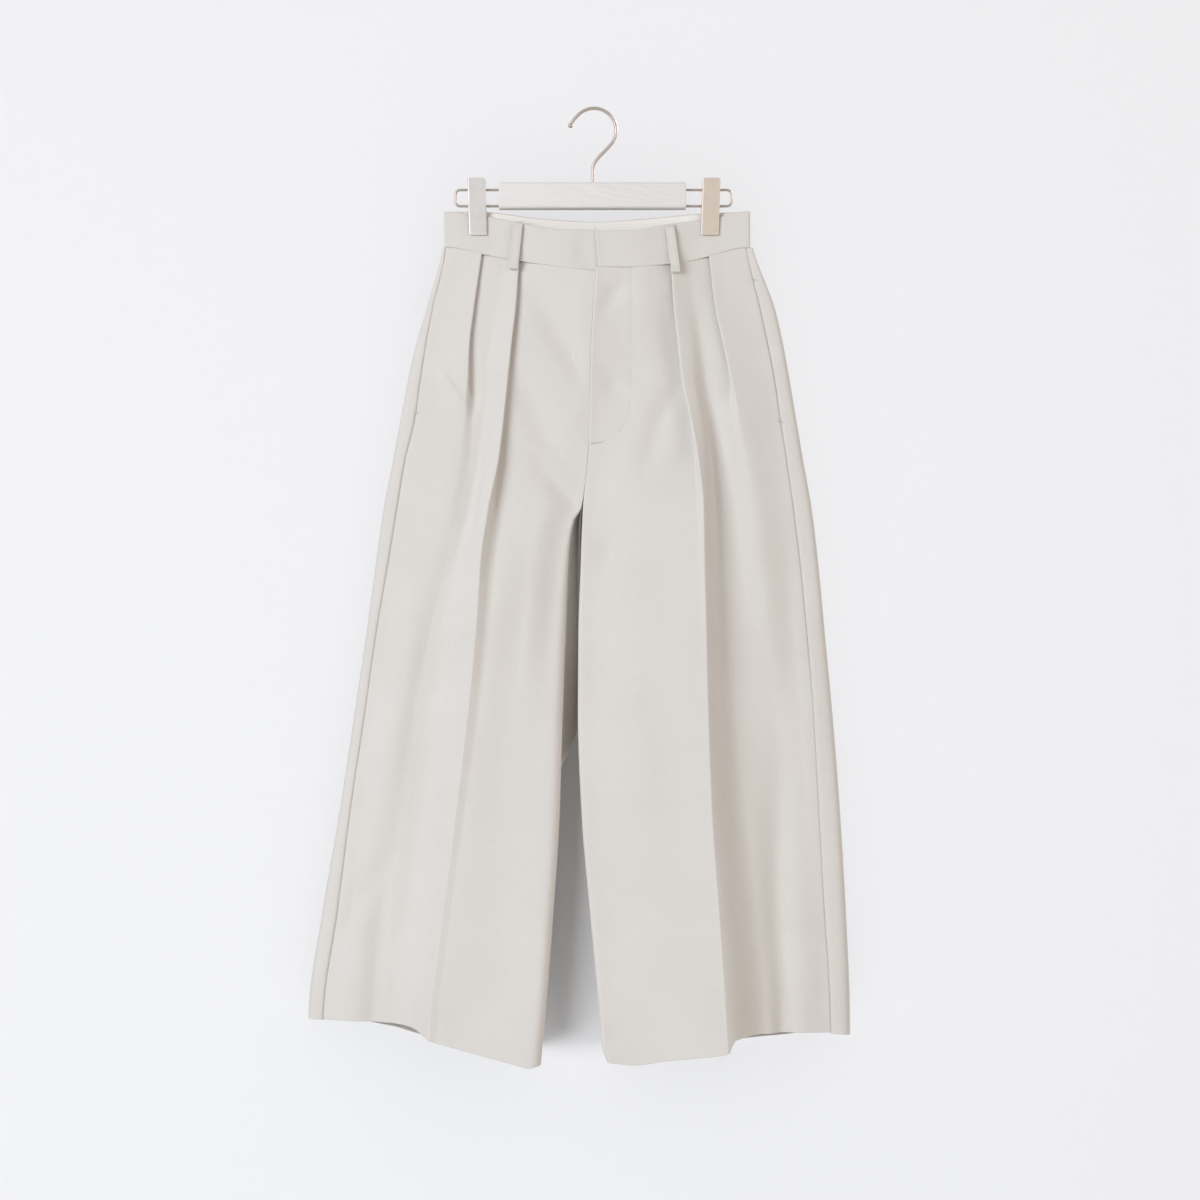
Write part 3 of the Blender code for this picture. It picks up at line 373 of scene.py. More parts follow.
def frontSection(leg, z, stretch, t):
    lines, depths, inward = leg["lines"], leg["depths"], leg["inward"]
    at = {name: (lines(name, z), depths(name, z)) for name in depths.names[1:]}
    outer = Pleat(at["pleat"], outerPleat, z, inward)
    crease = Pleat(at["crease"], leg["crease"], z, inward)
    through = outerPleat("through", z)
    if stretch == "side":
        return span(at["side"], outer.start, 4, outer.lead, inward, t)
    if stretch == "dip":
        return span(outer.end, at["dip"], outer.leave, through, inward, t)
    if stretch == "rise":
        return span(at["dip"], crease.near, through, crease.lead, inward, t)
    if stretch == "inner":
        return span(crease.end, at["middle"], crease.leave, leg["innerHeading"], inward, t)
    turn, seam = innerCorner(leg, z, at["inner"], leg["innerBend"], 6, 96, "frontSeam")
    if stretch == "edge":
        return span(at["middle"], turn(0), leg["innerHeading"], 6, inward, t)
    if stretch in ("turn", "seam"):
        return (turn if stretch == "turn" else seam)(t)
    fold, part = stretch.split()
    return (outer if fold == "outer" else crease).point(part, t)


backForm = {  # headings at the shoulder and round the crease, how full the curves are, and the inner edge's bend
    "shoulder": -20, "crease": (-6, 8), "outwards": 1.3, "wrapPull": 1.6, "shoulderPull": 1.1, "innerBend": 2.5,
}


def backSection(leg, z, stretch, t):
    lines, inside, inward = leg["lines"], leg["inside"], leg["inward"]
    side = lines("side", z), leg["depths"]("side", z)
    outline = lines("outline", z), backDepths("outline", z)
    depth = backDepths("shoulder", z)
    shoulder = outline[0] + inward * (depth - outline[1]) * backForm["outwards"], depth
    crease = backCreases("left" if inward > 0 else "right", z), backDepths("crease", z)
    corner = inside("corner", z), backDepths("corner", z)
    rise = np.degrees(np.arctan2(crease[1] - shoulder[1], abs(crease[0] - shoulder[0])))
    before, after = backForm["crease"]
    if stretch == "wrap":
        return span(side, outline, -178, -90, inward, t, backForm["wrapPull"])
    if stretch == "shoulder":
        return span(outline, shoulder, -90, backForm["shoulder"], inward, t, backForm["shoulderPull"])
    if stretch == "outer":
        return span(shoulder, crease, backForm["shoulder"], -rise + before, inward, t)
    turn, seam = innerCorner(leg, z, corner, backForm["innerBend"], 8, -82, "backSeam")
    if stretch == "inner":
        return span(crease, turn(0), -rise + after, 8, inward, t)
    return (turn if stretch == "turn" else seam)(t)


def panelPoints(leg, section, stretches, waist, hem, rows):  # rows from waist to hem, columns inwards
    above, below = cloth["lengths"]
    *fine, clear = cloth["fineRows"]
    fine = np.array(fine)
    upper = np.concatenate((fine / above, np.linspace(clear / above, 1, rows[0])))
    lower = np.concatenate((np.linspace(0, 1 - clear / below, rows[1])[1:], 1 - fine[::-1] / below))
    crotch = cloth["crotchZ"]
    columns = []
    for number, (stretch, steps) in enumerate(stretches):
        for step in range(0 if number == 0 else 1, steps + 1):
            t = step / steps
            top = waist(section(leg, cloth["ends"][0], stretch, t)[0]) - cloth["waistGap"]
            foot = hem(section(leg, cloth["ends"][1], stretch, t)[0])
            z = np.concatenate((top + (crotch - top) * upper, crotch + (foot - crotch) * lower))
            x, y = section(leg, z, stretch, t)
            columns.append(np.stack((x + 0 * z, y + 0 * z, z), axis=-1))
    return np.stack(columns, axis=1)


# Folds, placed one by one: along each the x, the z, how far the cloth moves back (minus is a ridge)
# and the widths of the flanks on its two sides

folds = {
    "front_left": [
        "soft: -122 -222 0 9 9; -122.5 -270 1 9 8; -123.5 -330 1.5 11 10; -126 -386 1.1 13 12; "
        "-134 -455 0 16 14",
        "sharp: -154 -258 0 3 6; -146 -270 -2.2 2.5 7; -134 -288 -2.2 2.5 7; -121 -306 0 3 6",
        "soft: -66 -162 0 8 10; -54 -188 2.8 11 13; -36 -222 4 13 16; -18 -254 3.2 12 13; -4 -286 0 9 10",
        "soft: -78 -256 0 9 12; -64 -290 2.8 12 15; -48 -322 3 13 15; -28 -370 0 10 12",
        "soft: -62 -344 0 6 8; -50 -361 2 7 10; -36 -378 2.8 7 10; -20 -392 1.8 6 9; -10 -400 0 5 7",
        "soft: -226 -640 0 16 20; -222 -720 1 18 22; -216 -790 1.5 17 20; -212 -850 1.7 17 19; "
        "-210 -912 1.7 17 19",
        "soft: -200 -732 0 10 15; -220 -768 2 11 17; -240 -802 2.4 10 16; -260 -836 0 8 12",
        "soft: -176 -470 0 14 18; -186 -540 -1.5 15 20; -196 -620 -1.8 16 22; -206 -700 0 16 20",
        "sharp: -142 -518 0 3 4; -128 -526 0.8 3 5; -116 -533 0.6 3 5; -108 -538 0 3 4",
        "soft: -70 -440 0 18 20; -78 -520 1.2 20 22; -92 -640 1.4 20 24; -104 -760 0 20 22",
    ],
    "front_right": [
        "soft: 104 -186 0 6 7; 109 -230 1 8 8; 115 -285 1.6 9 10; 120 -335 1.8 10 11; 124 -395 1.2 12 13; "
        "128 -455 0 14 15",
        "soft: 70 -180 0 9 8; 77 -230 2 12 9; 86 -290 2.8 14 10; 94 -330 1.8 12 10; 97 -370 0 10 9",
        "soft: 82 -268 0 8 10; 69 -304 2.8 11 13; 56 -344 2.8 12 13; 44 -378 0 9 10",
        "soft: 23 -410 0 8 9; 14 -440 2.3 9 11; 7 -474 0 7 9",
        "soft: 34 -166 0 6 8; 20 -186 2.1 8 11; 3 -210 0 6 8",
        "soft: 5 -256 0 6 8; 20 -276 2.4 8 11; 40 -298 0 6 8",
        "sharp: 93 -520 0 3 4; 106 -528 0.7 3 5; 118 -535 0.6 3 5; 129 -541 0 3 4",
        "soft: 194 -420 0 14 14; 195 -500 1.6 16 15; 195 -590 2.2 18 16; 191 -690 2.6 20 17; "
        "184 -760 2.2 24 18; 177 -840 1.8 24 18; 170 -926 1.4 22 16",
        "soft: 150 -300 0 10 14; 158 -380 -1.4 13 16; 166 -470 -1.8 15 18; 170 -580 0 16 20",
        "soft: 60 -420 0 18 20; 66 -520 1.3 20 22; 70 -640 1.5 22 24; 80 -790 0 22 22",
        "soft: 10 -905 0 6 8; 18 -921 1.2 6 9; 27 -934 0 6 8",
    ],
    "back_left": [
        "soft: -60 -170 0 9 12; -52 -240 -1.8 12 14; -40 -310 -2.2 13 14; -26 -378 0 10 12",
        "soft: -130 -220 0 12 12; -136 -300 -2.2 14 16; -148 -400 -2.2 16 18; -160 -520 0 16 18",
        "soft: -74 -380 0 16 16; -82 -480 -2.4 20 20; -96 -620 -3.2 24 22; -112 -760 -3 24 22; "
        "-126 -950 -3.8 24 22",
        "soft: -206 -560 0 16 16; -216 -680 -3 20 18; -222 -800 -4.1 20 18; -224 -945 -4.3 20 18",
        "sharp: -14 -402 0 4 6; -36 -388 -1.6 4 7; -60 -382 0 4 6",
    ],
    "back_right": [
        "soft: 58 -172 0 9 12; 50 -236 -1.6 12 14; 38 -306 -2.3 13 14; 20 -380 0 10 12",
        "soft: 128 -214 0 12 12; 140 -300 -2.3 14 16; 150 -410 -2 16 18; 160 -530 0 16 18",
        "soft: 66 -390 0 16 16; 72 -500 -2.6 20 20; 76 -640 -3.1 24 22; 74 -780 -3.2 24 22; "
        "72 -950 -3.5 24 22",
        "soft: 186 -540 0 16 16; 190 -660 -2.8 20 18; 192 -790 -3.8 20 18; 190 -945 -4.1 20 18",
        "sharp: -6 -402 0 4 6; 18 -390 -1.5 4 7; 44 -384 0 4 6",
    ],
}


def foldShift(x, z, folds):  # how far the folds move a point of the cloth in
    total = np.zeros_like(x)
    for kind, points in folds:
        points = np.array(points, float)
        best = np.full(x.shape, 1e9)
        shift = np.zeros_like(x)
        for a, b in zip(points, points[1:]):
            run = b[:2] - a[:2]
            long = math.hypot(*run)
            along = np.clip(((x - a[0]) * run[0] + (z - a[1]) * run[1]) / long ** 2, 0, 1)
            dx, dz = x - a[0] - run[0] * along, z - a[1] - run[1] * along
            away = np.hypot(dx, dz)
            at = a[2:, None, None] + (b[2:] - a[2:])[:, None, None] * along
            width = np.where(run[0] * dz - run[1] * dx > 0, at[1], at[2])
            flank = away / width
            form = np.exp(-flank ** 2 if kind == "soft" else -np.sqrt(flank ** 2 + 0.05) + 0.22)
            here = away < best
            shift = np.where(here, at[0] * form, shift)
            best = np.where(here, away, best)
        total += shift
    return total


unevenness = {
    "fold": 1.4, "soft": 0.55,
    "side": (0.22, 13.0, 7.0), "waist": (0.22, 15.0, 16.0), "hem": (0.18, 17.0, 12.0),  # pucker, its wave and reach
    "hemLine": (78.0, 0.13, 1.1),   # how high above the hem, how deep and how wide
    "roll": (0.18, 0.9),            # of the seams, and its reach
    "seamClear": (1.0, 16.0), "waistClear": (0.0, 26.0), "softBelow": (180, 420),
}


def wavy(s, wave, seed):  # an uneven wave along s
    base = s * 2 * math.pi / wave
    waves = np.sin(base + seed) + 0.6 * np.sin(base * 0.618 + 2.1 * seed) + 0.4 * np.sin(base * 1.47 + 3.7 * seed)
    return waves / 1.6


def pucker(where, along, away, seed):
    height, wave, reach = unevenness[where]
    return height * wavy(along, wave, seed) * np.exp(-away / reach)


def edgeDistances(points):  # of each point from the first and last column, and from the first and last row
    across = np.linalg.norm(np.diff(points, axis=1), axis=2)
    along = np.linalg.norm(np.diff(points, axis=0), axis=2)
    fromFirst = np.concatenate((np.zeros((len(points), 1)), np.cumsum(across, axis=1)), axis=1)
    fromTop = np.concatenate((np.zeros((1, points.shape[1])), np.cumsum(along, axis=0)))
    return fromFirst, fromFirst[:, -1:] - fromFirst, fromTop, fromTop[-1:] - fromTop


def shaped(name, points, seed):  # the folds, puckers and turned edges of a leg panel
    inwards = 1 if name.startswith("front") else -1
    first, last, top, foot = edgeDistances(points)
    x, z = points[:, :, 0], points[:, :, 2]
    clear = smooth(np.minimum(first, last), *unevenness["seamClear"]) * smooth(top, *unevenness["waistClear"])
    placed = [(kind, numbers(line)) for kind, line in (text.split(":") for text in folds[name])]
    shift = unevenness["fold"] * foldShift(x, z, placed) * clear
    soft = (np.sin(x / 31 + z / 113 + seed) + np.sin(x / 19 - z / 71 + 2 * seed)
            + 0.8 * np.sin(z / 37 + x / 40 + 3 * seed) + 0.5 * np.sin(x / 11 + z / 53 + 5 * seed)) / 2
    shift += unevenness["soft"] * soft * clear * smooth(-z, *unevenness["softBelow"])
    shift += pucker("waist", x, top, seed) * smooth(top, 0, 4)
    shift += pucker("hem", x, foot, seed + 1)
    height, depth, width = unevenness["hemLine"]
    shift += depth * np.exp(-((foot - height) / width) ** 2) * (0.7 + 0.3 * wavy(x, 9.0, seed)) * inwards
    shift += pucker("side", z, first, 0.7 + name.endswith("left")) * smooth(top, 0, 20)
    roll, reach = unevenness["roll"]
    for away in (first, last, top):
        shift += inwards * roll * np.exp(-away / reach)
    moved = points.copy()
    moved[:, :, 1] += shift
    return moved


# Meshes

def planNormals(points):  # mitred in plan, so that a wall keeps its thickness round a fold
    way = np.diff(points[:, :, :2], axis=1)
    way /= np.maximum(np.linalg.norm(way, axis=2, keepdims=True), 1e-9)
    side = np.stack((-way[:, :, 1], way[:, :, 0]), axis=-1)
    before = np.concatenate((side[:, :1], side), axis=1)
    after = np.concatenate((side, side[:, -1:]), axis=1)
    both = before + after
    both /= np.maximum(np.linalg.norm(both, axis=2, keepdims=True), 1e-9)
    reach = 1 / np.maximum(np.sum(both * before, axis=2, keepdims=True), 0.6)
    normals = np.zeros_like(points)
    normals[:, :, :2] = both * reach
    return normals


def trimmed(points, first, last):  # shortens each row at its ends, for the gap at a seam
    points = points.copy()
    for end, following, amount in ((0, 1, first), (-1, -2, last)):
        way = points[:, following] - points[:, end]
        way[:, 2] = 0
        amount = np.broadcast_to(np.asarray(amount, float), len(points))[:, None]
        points[:, end] += amount * way / np.linalg.norm(way, axis=1, keepdims=True)
    return points


def pieceName(node):  # waistband_back -> waistbandBack
    first, *rest = node.split("_")
    return first + "".join(word.title() for word in rest)


def linked(name, data):  # a new object in the scene
    piece = bpy.data.objects.new(name, data)
    bpy.context.scene.collection.objects.link(piece)
    return piece


def newPiece(name, vertices, faces, uv=None):
    name = pieceName(name)
    mesh = bpy.data.meshes.new(name)
    mesh.from_pydata((np.asarray(vertices) * mm).tolist(), [], faces)
    if uv is not None:
        corner = np.zeros(len(mesh.loops), np.int32)
        mesh.loops.foreach_get("vertex_index", corner)
        mesh.uv_layers.new(name="weave").data.foreach_set("uv", (uv[corner] * mm).astype(np.float32).ravel())
    bm = bmesh.new()
    bm.from_mesh(mesh)
    bmesh.ops.recalc_face_normals(bm, faces=bm.faces)
    bm.to_mesh(mesh)
    bm.free()
    mesh.shade_smooth()
    return linked(name, mesh)


def keepModified(piece):  # makes what the modifiers do the piece's own mesh
    mesh = bpy.data.meshes.new_from_object(piece.evaluated_get(bpy.context.evaluated_depsgraph_get()))
    piece.modifiers.clear()
    mesh.name = piece.name
    piece.data = mesh


def gridFaces(rows, columns):
    near = np.arange(rows * columns).reshape(rows, columns)
    far = near + rows * columns
    faces = [np.stack((near[:-1, :-1], near[:-1, 1:], near[1:, 1:], near[1:, :-1]), axis=-1).reshape(-1, 4),
             np.stack((far[:-1, :-1], far[1:, :-1], far[1:, 1:], far[:-1, 1:]), axis=-1).reshape(-1, 4)]
    for a, b in ((near[0], far[0]), (far[-1], near[-1]), (far[:, 0], near[:, 0]), (near[:, -1], far[:, -1])):
        faces.append(np.stack((a[:-1], b[:-1], b[1:], a[1:]), axis=-1))
    return np.concatenate(faces).tolist()


# Vertices and faces of a wall whose rims are rounded; the thickness and the rim may differ by place
def wallGrid(points, thickness, rim, normals, thinnest=0.06):
    away = np.minimum.reduce(edgeDistances(points))
    full = np.sqrt(np.clip(1 - (1 - np.clip(away / rim, 0, 1)) ** 2, thinnest, 1))
    reach = normals * (full * thickness / 2)[:, :, None]
    vertices = np.concatenate(((points + reach).reshape(-1, 3), (points - reach).reshape(-1, 3)))
    return vertices, gridFaces(*points.shape[:2])


def clothWall(name, points, thickness, rim, grain=0, normals=None):  # the weave runs along the column "grain"
    across = edgeDistances(points)[0]
    uv = np.stack((across - across[:, grain:grain + 1], points[:, :, 2]), axis=-1).reshape(-1, 2)
    normals = planNormals(points) if normals is None else np.array(normals)
    return newPiece(name, *wallGrid(points, thickness, rim, normals), np.concatenate((uv, uv)))


def flatCut(points):  # the width, length and area of the cloth in a grid of points, in metres
    across = np.linalg.norm(np.diff(points, axis=1), axis=2).sum(axis=1)
    along = np.linalg.norm(np.diff(points, axis=0), axis=2).sum(axis=0)
    a, b, c, d = points[:-1, :-1], points[:-1, 1:], points[1:, 1:], points[1:, :-1]
    near, far = (np.linalg.norm(np.cross(*sides), axis=2) for sides in ((b - a, c - a), (c - a, d - a)))
    area = (near + far).sum() / 2
    return (across.max() * mm, along.max() * mm), area * mm * mm


# Legs

fly = {
    "lapBehind": 1.5, "lapAhead": 0.6, "lapReach": 15.0, "foot": -336.0, "edgeThicker": 0.7, "edgeRounder": 0.7,
    "stitchLine": [(36.8, -160), (36.7, -192), (36.3, -232), (35.8, -272), (35.2, -298), (33.0, -309), (28.6, -318),
                   (22.0, -325), (14.0, -330), (6.0, -333)],
    "raised": 0.3, "raisedEdge": 0.9, "fade": 45, "footFade": 8,
    "groove": 0.5, "grooveFoot": 0.07, "grooveWidth": 0.8, "grooveFadesAt": -300, "doubled": (2.5, 5.0),
    "tacks": [((-3.5, -334.5), (8.5, -333.0), "right"), ((157.5, -169.0), (163.0, -171.0), "right"),
              ((188.5, -312.5), (183.0, -311.0), "right"), ((-181.0, -304.5), (-175.0, -303.0), "left")],
}
pockets = {"left": (-180.0, -302.0), "right": (-170.0, -312.0), "fade": 14, "open": 0.55, "lift": 0.4, "reach": 5.0}


def flyShape(name, points):  # the right front laps over the left one, and the fly's facing lifts it a little
    last, x, z = edgeDistances(points)[1], points[:, :, 0], points[:, :, 2]
    above = smooth(z, fly["foot"] - fly["footFade"], fly["foot"] + fly["footFade"])
    if name == "front_left":
        points[:, :, 1] += fly["lapBehind"] * above * (1 - smooth(last, 2, fly["lapReach"]))
        return
    line = np.array(fly["stitchLine"], float)
    edge = np.interp(-z, -line[:, 1], line[:, 0])
    inside = smooth(edge - x, -fly["raisedEdge"], fly["raisedEdge"])
    inside *= smooth(z, fly["foot"], fly["foot"] + fly["fade"])
    points[:, :, 1] -= fly["raised"] * inside + fly["lapAhead"] * above * (1 - smooth(last, 1, 6))
    groove = [(px, pz, fly["groove" if pz > fly["grooveFadesAt"] else "grooveFoot"], *[fly["grooveWidth"]] * 2)
              for px, pz in fly["stitchLine"]]
    points[:, :, 1] += foldShift(x, z, [("soft", groove)])


def buildPanel(name, seed):
    face, side = name.split("_")
    leg, front = legs[side], face == "front"
    waist = leg["waist"] if front else waistBack
    points = panelPoints(leg, frontSection if front else backSection, frontStretches if front else backStretches,
                         lambda x: waist("seam", x), lambda x: leg["hem"](face, x),
                         cloth["rows" if front else "backRows"])
    points = shaped(name, points, seed)
    trim = cloth["seamTrim"] + 0 * points[:, 0, 2]
    if front:
        flyShape(name, points)
        high, low = pockets[side]
        z = points[:, 0, 2]
        slit = smooth(z, low, low + pockets["fade"]) * (1 - smooth(z, high - pockets["fade"], high))
        trim = trim + pockets["open"] * slit
        points[:, :, 1] -= pockets["lift"] * slit[:, None] * np.exp(-edgeDistances(points)[0] / pockets["reach"])
    points = trimmed(points, trim, cloth["seamTrim"])
    thickness, rim = cloth["thickness"], cloth["rimRound"]
    if front:  # the turned edge of the fly is double
        turnedEdge = 1 - smooth(edgeDistances(points)[1], *fly["doubled"])
        turnedEdge *= smooth(points[:, :, 2], fly["foot"] - 12, fly["foot"])
        thickness = thickness + fly["edgeThicker"] * turnedEdge
        rim = rim + fly["edgeRounder"] * turnedEdge
    grain = sum(steps for _, steps in frontStretches[:7]) + 4 if front else 0
    return clothWall(name, points, thickness, rim, grain), flatCut(points)


sheets = {}  # piece name -> (piece, flat size, area)
for number, name in enumerate(("front_left", "front_right", "back_left", "back_right")):
    piece, cut = buildPanel(name, 1.0 + 1.7 * number)
    sheets[name] = (piece, *cut)
    print(name, "made,", len(piece.data.polygons), "faces, cut", [round(v, 3) for v in cut[0]], round(cut[1], 4))


# Waistband, facing and fly shield

band = {
    "height": 36.5, "thickness": 2.2, "rimRound": 1.1, "sideGap": 1.0, "ends": (-150.0, 156.4),
    "lapUnderX": 28.0, "lapStep": 2.6, "lapRamp": (-26.0, -3.0), "shortRamp": (3.0, 6.0), "lapShorter": 4.0,
    "rows": 22, "fineRows": (0.0, 0.008, 0.024), "soft": 0.3, "lapSlant": 3.4, "lapCurl": 0.5,
    "dip": (1.1, (-13, 9), (-141, 15)),     # how deep, and its place and width along x and z
    "facingDrop": 1.2, "facingHeight": 34.0, "facingThickness": 0.9, "facingRim": 0.5, "seamGap": 0.3,
    "facingSeams": (3.0, 39.1), "facingSeam": (0.35, 1.2),  # where they are, how deep and how wide
}
bandPlan = Table(
    "x frontTop frontLow backTop backLow",
    "-146 -2 -2.2 2.15 2.3; -128 -2 -3 2.1 3; -106 -2 -3.2 2.1 3.2; -76 -5 -8.8 4.2 6.2",
    "-40 -9.5 -13 6.6 8.8; 0 -12 -15.2 7.6 9.8; 40 -11 -14 6.8 9; 76 -5.6 -9 4.4 6.4; 106 -2 -3.2 2.1 3.2",
    "128 -2 -3 2.1 3; 152 -2 -2.2 2.15 2.3",
)
bandHeight = Table(
    "x height",
    "-150 35.7; -126 35.9; -106 39.2; -72 38.6; -38 37.4; -6 41; 2 41; 4 36.4; 36 37.2; 52 38.4; 68 40.2",
    "84 40.8; 105 39.2; 128 36.6; 157 36.4",
)


def bandPoints(places, face, seam, height=None, drop=0.0, shift=0.0):
    places = np.asarray(places, float)
    fine = np.array(band["fineRows"])
    parts = np.concatenate((fine, np.linspace(0.045, 0.955, band["rows"]), 1 - fine[::-1]))[:, None]
    belowTop = drop + (band["height"] + 0 * places if height is None else height) * parts
    down = belowTop / band["height"]
    y = bandPlan(face + "Top", places) * (1 - down) + bandPlan(face + "Low", places) * down + shift
    z = seam("seam", places) + band["height"] - belowTop
    if face == "front":
        z = z + (bandHeight("height", places) - band["height"]) * (1 - parts)
    y = y + band["soft"] * np.sin(places / 17 + z / 23) * np.sin(math.pi * np.clip(parts, 0, 1))
    return np.stack((places + 0 * y, y, z), axis=-1)


def withTurnedEnd(points, endX, first):  # carries a band round the corner, to the side seam at y = 0
    edge = points[:, 0 if first else -1]
    side, face = math.copysign(1, endX), math.copysign(1, edge[0, 1])
    radius = np.abs(edge[:, 1]) - band["sideGap"] / 2
    turnedIn = []
    for angle in np.radians(np.linspace(15, 90, 6)):
        column = edge.copy()
        column[:, 0] = endX - side * (band["thickness"] / 2 + radius * (1 - math.sin(angle)))
        column[:, 1] = face * (band["sideGap"] / 2 + radius * math.cos(angle))
        turnedIn.append(column)
    columns = [points[:, j] for j in range(points.shape[1])]
    return np.stack(turnedIn[::-1] + columns if first else columns + turnedIn, axis=1)


def addSheet(name, points, thickness, rim):
    piece = clothWall(name, points, thickness, rim)
    sheets[name] = (piece, *flatCut(points))
    print(name, "made, cut", [round(v, 3) for v in sheets[name][1]])


def buildBand():
    places = np.concatenate([np.linspace(*run) for run in ((-146, -28, 60), (-26, 4, 24), (6, band["lapUnderX"], 9))])
    lapped = smooth(places, *band["lapRamp"])
    shorter = smooth(places, *band["shortRamp"])
    left = bandPoints(places, "front", waistLeft, height=band["height"] - band["lapShorter"] * shorter,
                      shift=band["lapStep"] * lapped)
    depth, (x, width), (z, height) = band["dip"]
    left[:, :, 1] += depth * np.exp(-((left[:, :, 0] - x) / width) ** 2 - ((left[:, :, 2] - z) / height) ** 2)
    places = np.concatenate(((1.0, 1.3, 1.9), np.linspace(3, 152, 80)))
    right = bandPoints(places, "front", waistRight)
    down = np.linspace(0, 1, len(right))[:, None]
    right[:, :, 0] += band["lapSlant"] * down * (1 - smooth(right[:, :, 0], 1, 16))
    right[:, :, 1] -= band["lapCurl"] * np.exp(-(right[:, :, 0] - right[:, :1, 0]) / 3.0)
    back = bandPoints(np.linspace(-146, 152, 110), "back", waistBack)
    start, end = band["ends"]
    for name, points in (("front_left", withTurnedEnd(left, start, True)),
                         ("front_right", withTurnedEnd(right, end, False)),
                         ("back", withTurnedEnd(withTurnedEnd(back, start, True), end, False))):
        addSheet("waistband_" + name, points, band["thickness"], band["rimRound"])


def buildFacing():
    places = np.linspace(-131, 137, 120)
    inside = -(band["thickness"] / 2 + band["seamGap"] + band["facingThickness"] / 2)
    points = bandPoints(places, "back", waistBack, height=band["facingHeight"] + 0 * places,
                        drop=band["facingDrop"], shift=inside)
    depth, width = band["facingSeam"]
    for seamX in band["facingSeams"]:
        points[:, :, 1] += depth * np.exp(-((points[:, :, 0] - seamX) / width) ** 2)
    addSheet("waistband_facing", points, band["facingThickness"], band["facingRim"])


shield = {"back": 4.2, "x": (-20.0, 24.0), "length": 138.0, "belowSeam": 4.4}


def frontDepth(leg, x, z):  # y of a front's middle at x, between its crease and its inner edge
    places = sorted(frontSection(leg, z, stretch, t) for stretch in ("inner", "edge") for t in np.linspace(0, 1, 9))
    along = np.array(places)
    return np.interp(x, along[:, 0], along[:, 1])


def buildShield():
    top = waistRight("seam", 0) - shield["belowSeam"]
    rows = []
    for z in np.linspace(top, top - shield["length"], 40):
        centre = leftLines("inner", z)
        rows.append([(x, frontDepth(legs["left" if x < centre else "right"], x, z) + shield["back"], z)
                     for x in centre + np.linspace(*shield["x"], 14)])
    addSheet("fly_shield", np.array(rows), cloth["thickness"], cloth["rimRound"])


buildBand()
buildFacing()
buildShield()


# Belt loops

loop = {
    "width": 9.2, "length": 49.0, "backLength": 46.4, "thickness": 1.6, "stand": 1.9, "belowSeam": 10.0, "gap": 0.6,
    "stitchInset": 1.7, "edgeRound": 0.7, "groove": 0.28, "grooveWidth": 0.45,
    "wall": 0.6, "clear": {"front": 0.9, "back": 0.3},  # the cloth's face from its middle, and the gap beyond it
}


def seamAbove(x, side):  # the waist seam over a place, in front (-1) or behind (1)
    return (waistBack if side > 0 else waistLeft if x < 0 else waistRight)("seam", x)


def outerFace(x, z, side):  # how far the band, or the leg under its seam, stands out
    seam, face = seamAbove(x, side), "front" if side < 0 else "back"
    down = min(max((seam + band["height"] - z) / band["height"], 0.0), 1.0)
    out = side * (bandPlan(face + "Top", x) * (1 - down) + bandPlan(face + "Low", x) * down) + band["thickness"] / 2
    if z > seam:
        return out
    under = backDepths("corner", z) if side > 0 else -(leftDepths if x < 0 else rightDepths)("crease", z)
    return max(out, under + loop["wall"] + loop["clear"][face])


def buildLoop(name, xTop, xLow, side):
    foot = seamAbove(xLow, side) - loop["belowSeam"]
    length = loop["length"] if side < 0 else loop["backLength"]
    down = np.concatenate(((0, 0.005, 0.012), np.linspace(0.02, 0.98, 60), (0.988, 0.995, 1)))
    stand = loop["stand"] * smooth(down, 0.02, 0.17) * (1 - smooth(down, 0.83, 0.98))
    x, z = xTop + (xLow - xTop) * down, foot + length * (1 - down)
    knots = (0, 0.1, 0.2, 0.5, 0.8, 0.9, 1)
    base = np.interp(down, knots, [outerFace(xTop + (xLow - xTop) * d, foot + length * (1 - d), side) for d in knots])
    y = side * (base + loop["gap"] + stand + loop["thickness"] / 2)
    half = loop["width"] / 2
    across = np.concatenate(((-half, -half + 0.25), np.linspace(-half + 0.7, half - 0.7, 11), (half - 0.25, half)))
    points = np.stack([line[:, None] + shift * across for line, shift in ((x, 1), (y, 0), (z, 0))], axis=-1)
    groove = np.exp(-((np.abs(across) - (half - loop["stitchInset"])) / loop["grooveWidth"]) ** 2)
    points[:, :, 1] -= side * loop["groove"] * groove
    return clothWall(name, points, loop["thickness"], loop["edgeRound"], 0, (0.0, 1.0, 0.0)), x, y, z, side


loops = {"belt_loop_" + name: buildLoop("belt_loop_" + name, *places) for name, *places in (
    ("front_left", -75.2, -80.2, -1), ("front_right", 75.4, 81.6, -1),
    ("back_left", -82.0, -82.0, 1), ("back_centre", -1.0, -1.0, 1), ("back_right", 84.0, 84.0, 1))}
print(len(loops), "belt loops made")


# Stitching: a thread that follows lines of x and z, laid on the face of a piece

stitch = {
    "length": 2.0, "spacing": 2.7, "thread": 0.34, "proud": 0.05,
    "tackThick": 0.4, "tackWidth": 1.7, "tackStep": 0.42, "tackProud": 0.08, "tackLaid": 0.45,
    "loopTack": (1.3, 3.6), "seenFrom": 200,
}


def joined(*grids):  # several sets of vertices and faces as one
    vertices, faces = [], []
    for some, theirs in grids:
        faces += [tuple(k + len(vertices) for k in face) for face in theirs]
        vertices += [tuple(v) for v in some]
    return vertices, faces


def faceTree(*pieces):
    meshes = [piece.data for piece in pieces]
    return BVHTree.FromPolygons(*joined(*(([v.co for v in mesh.vertices], [f.vertices for f in mesh.polygons])
                                          for mesh in meshes)))


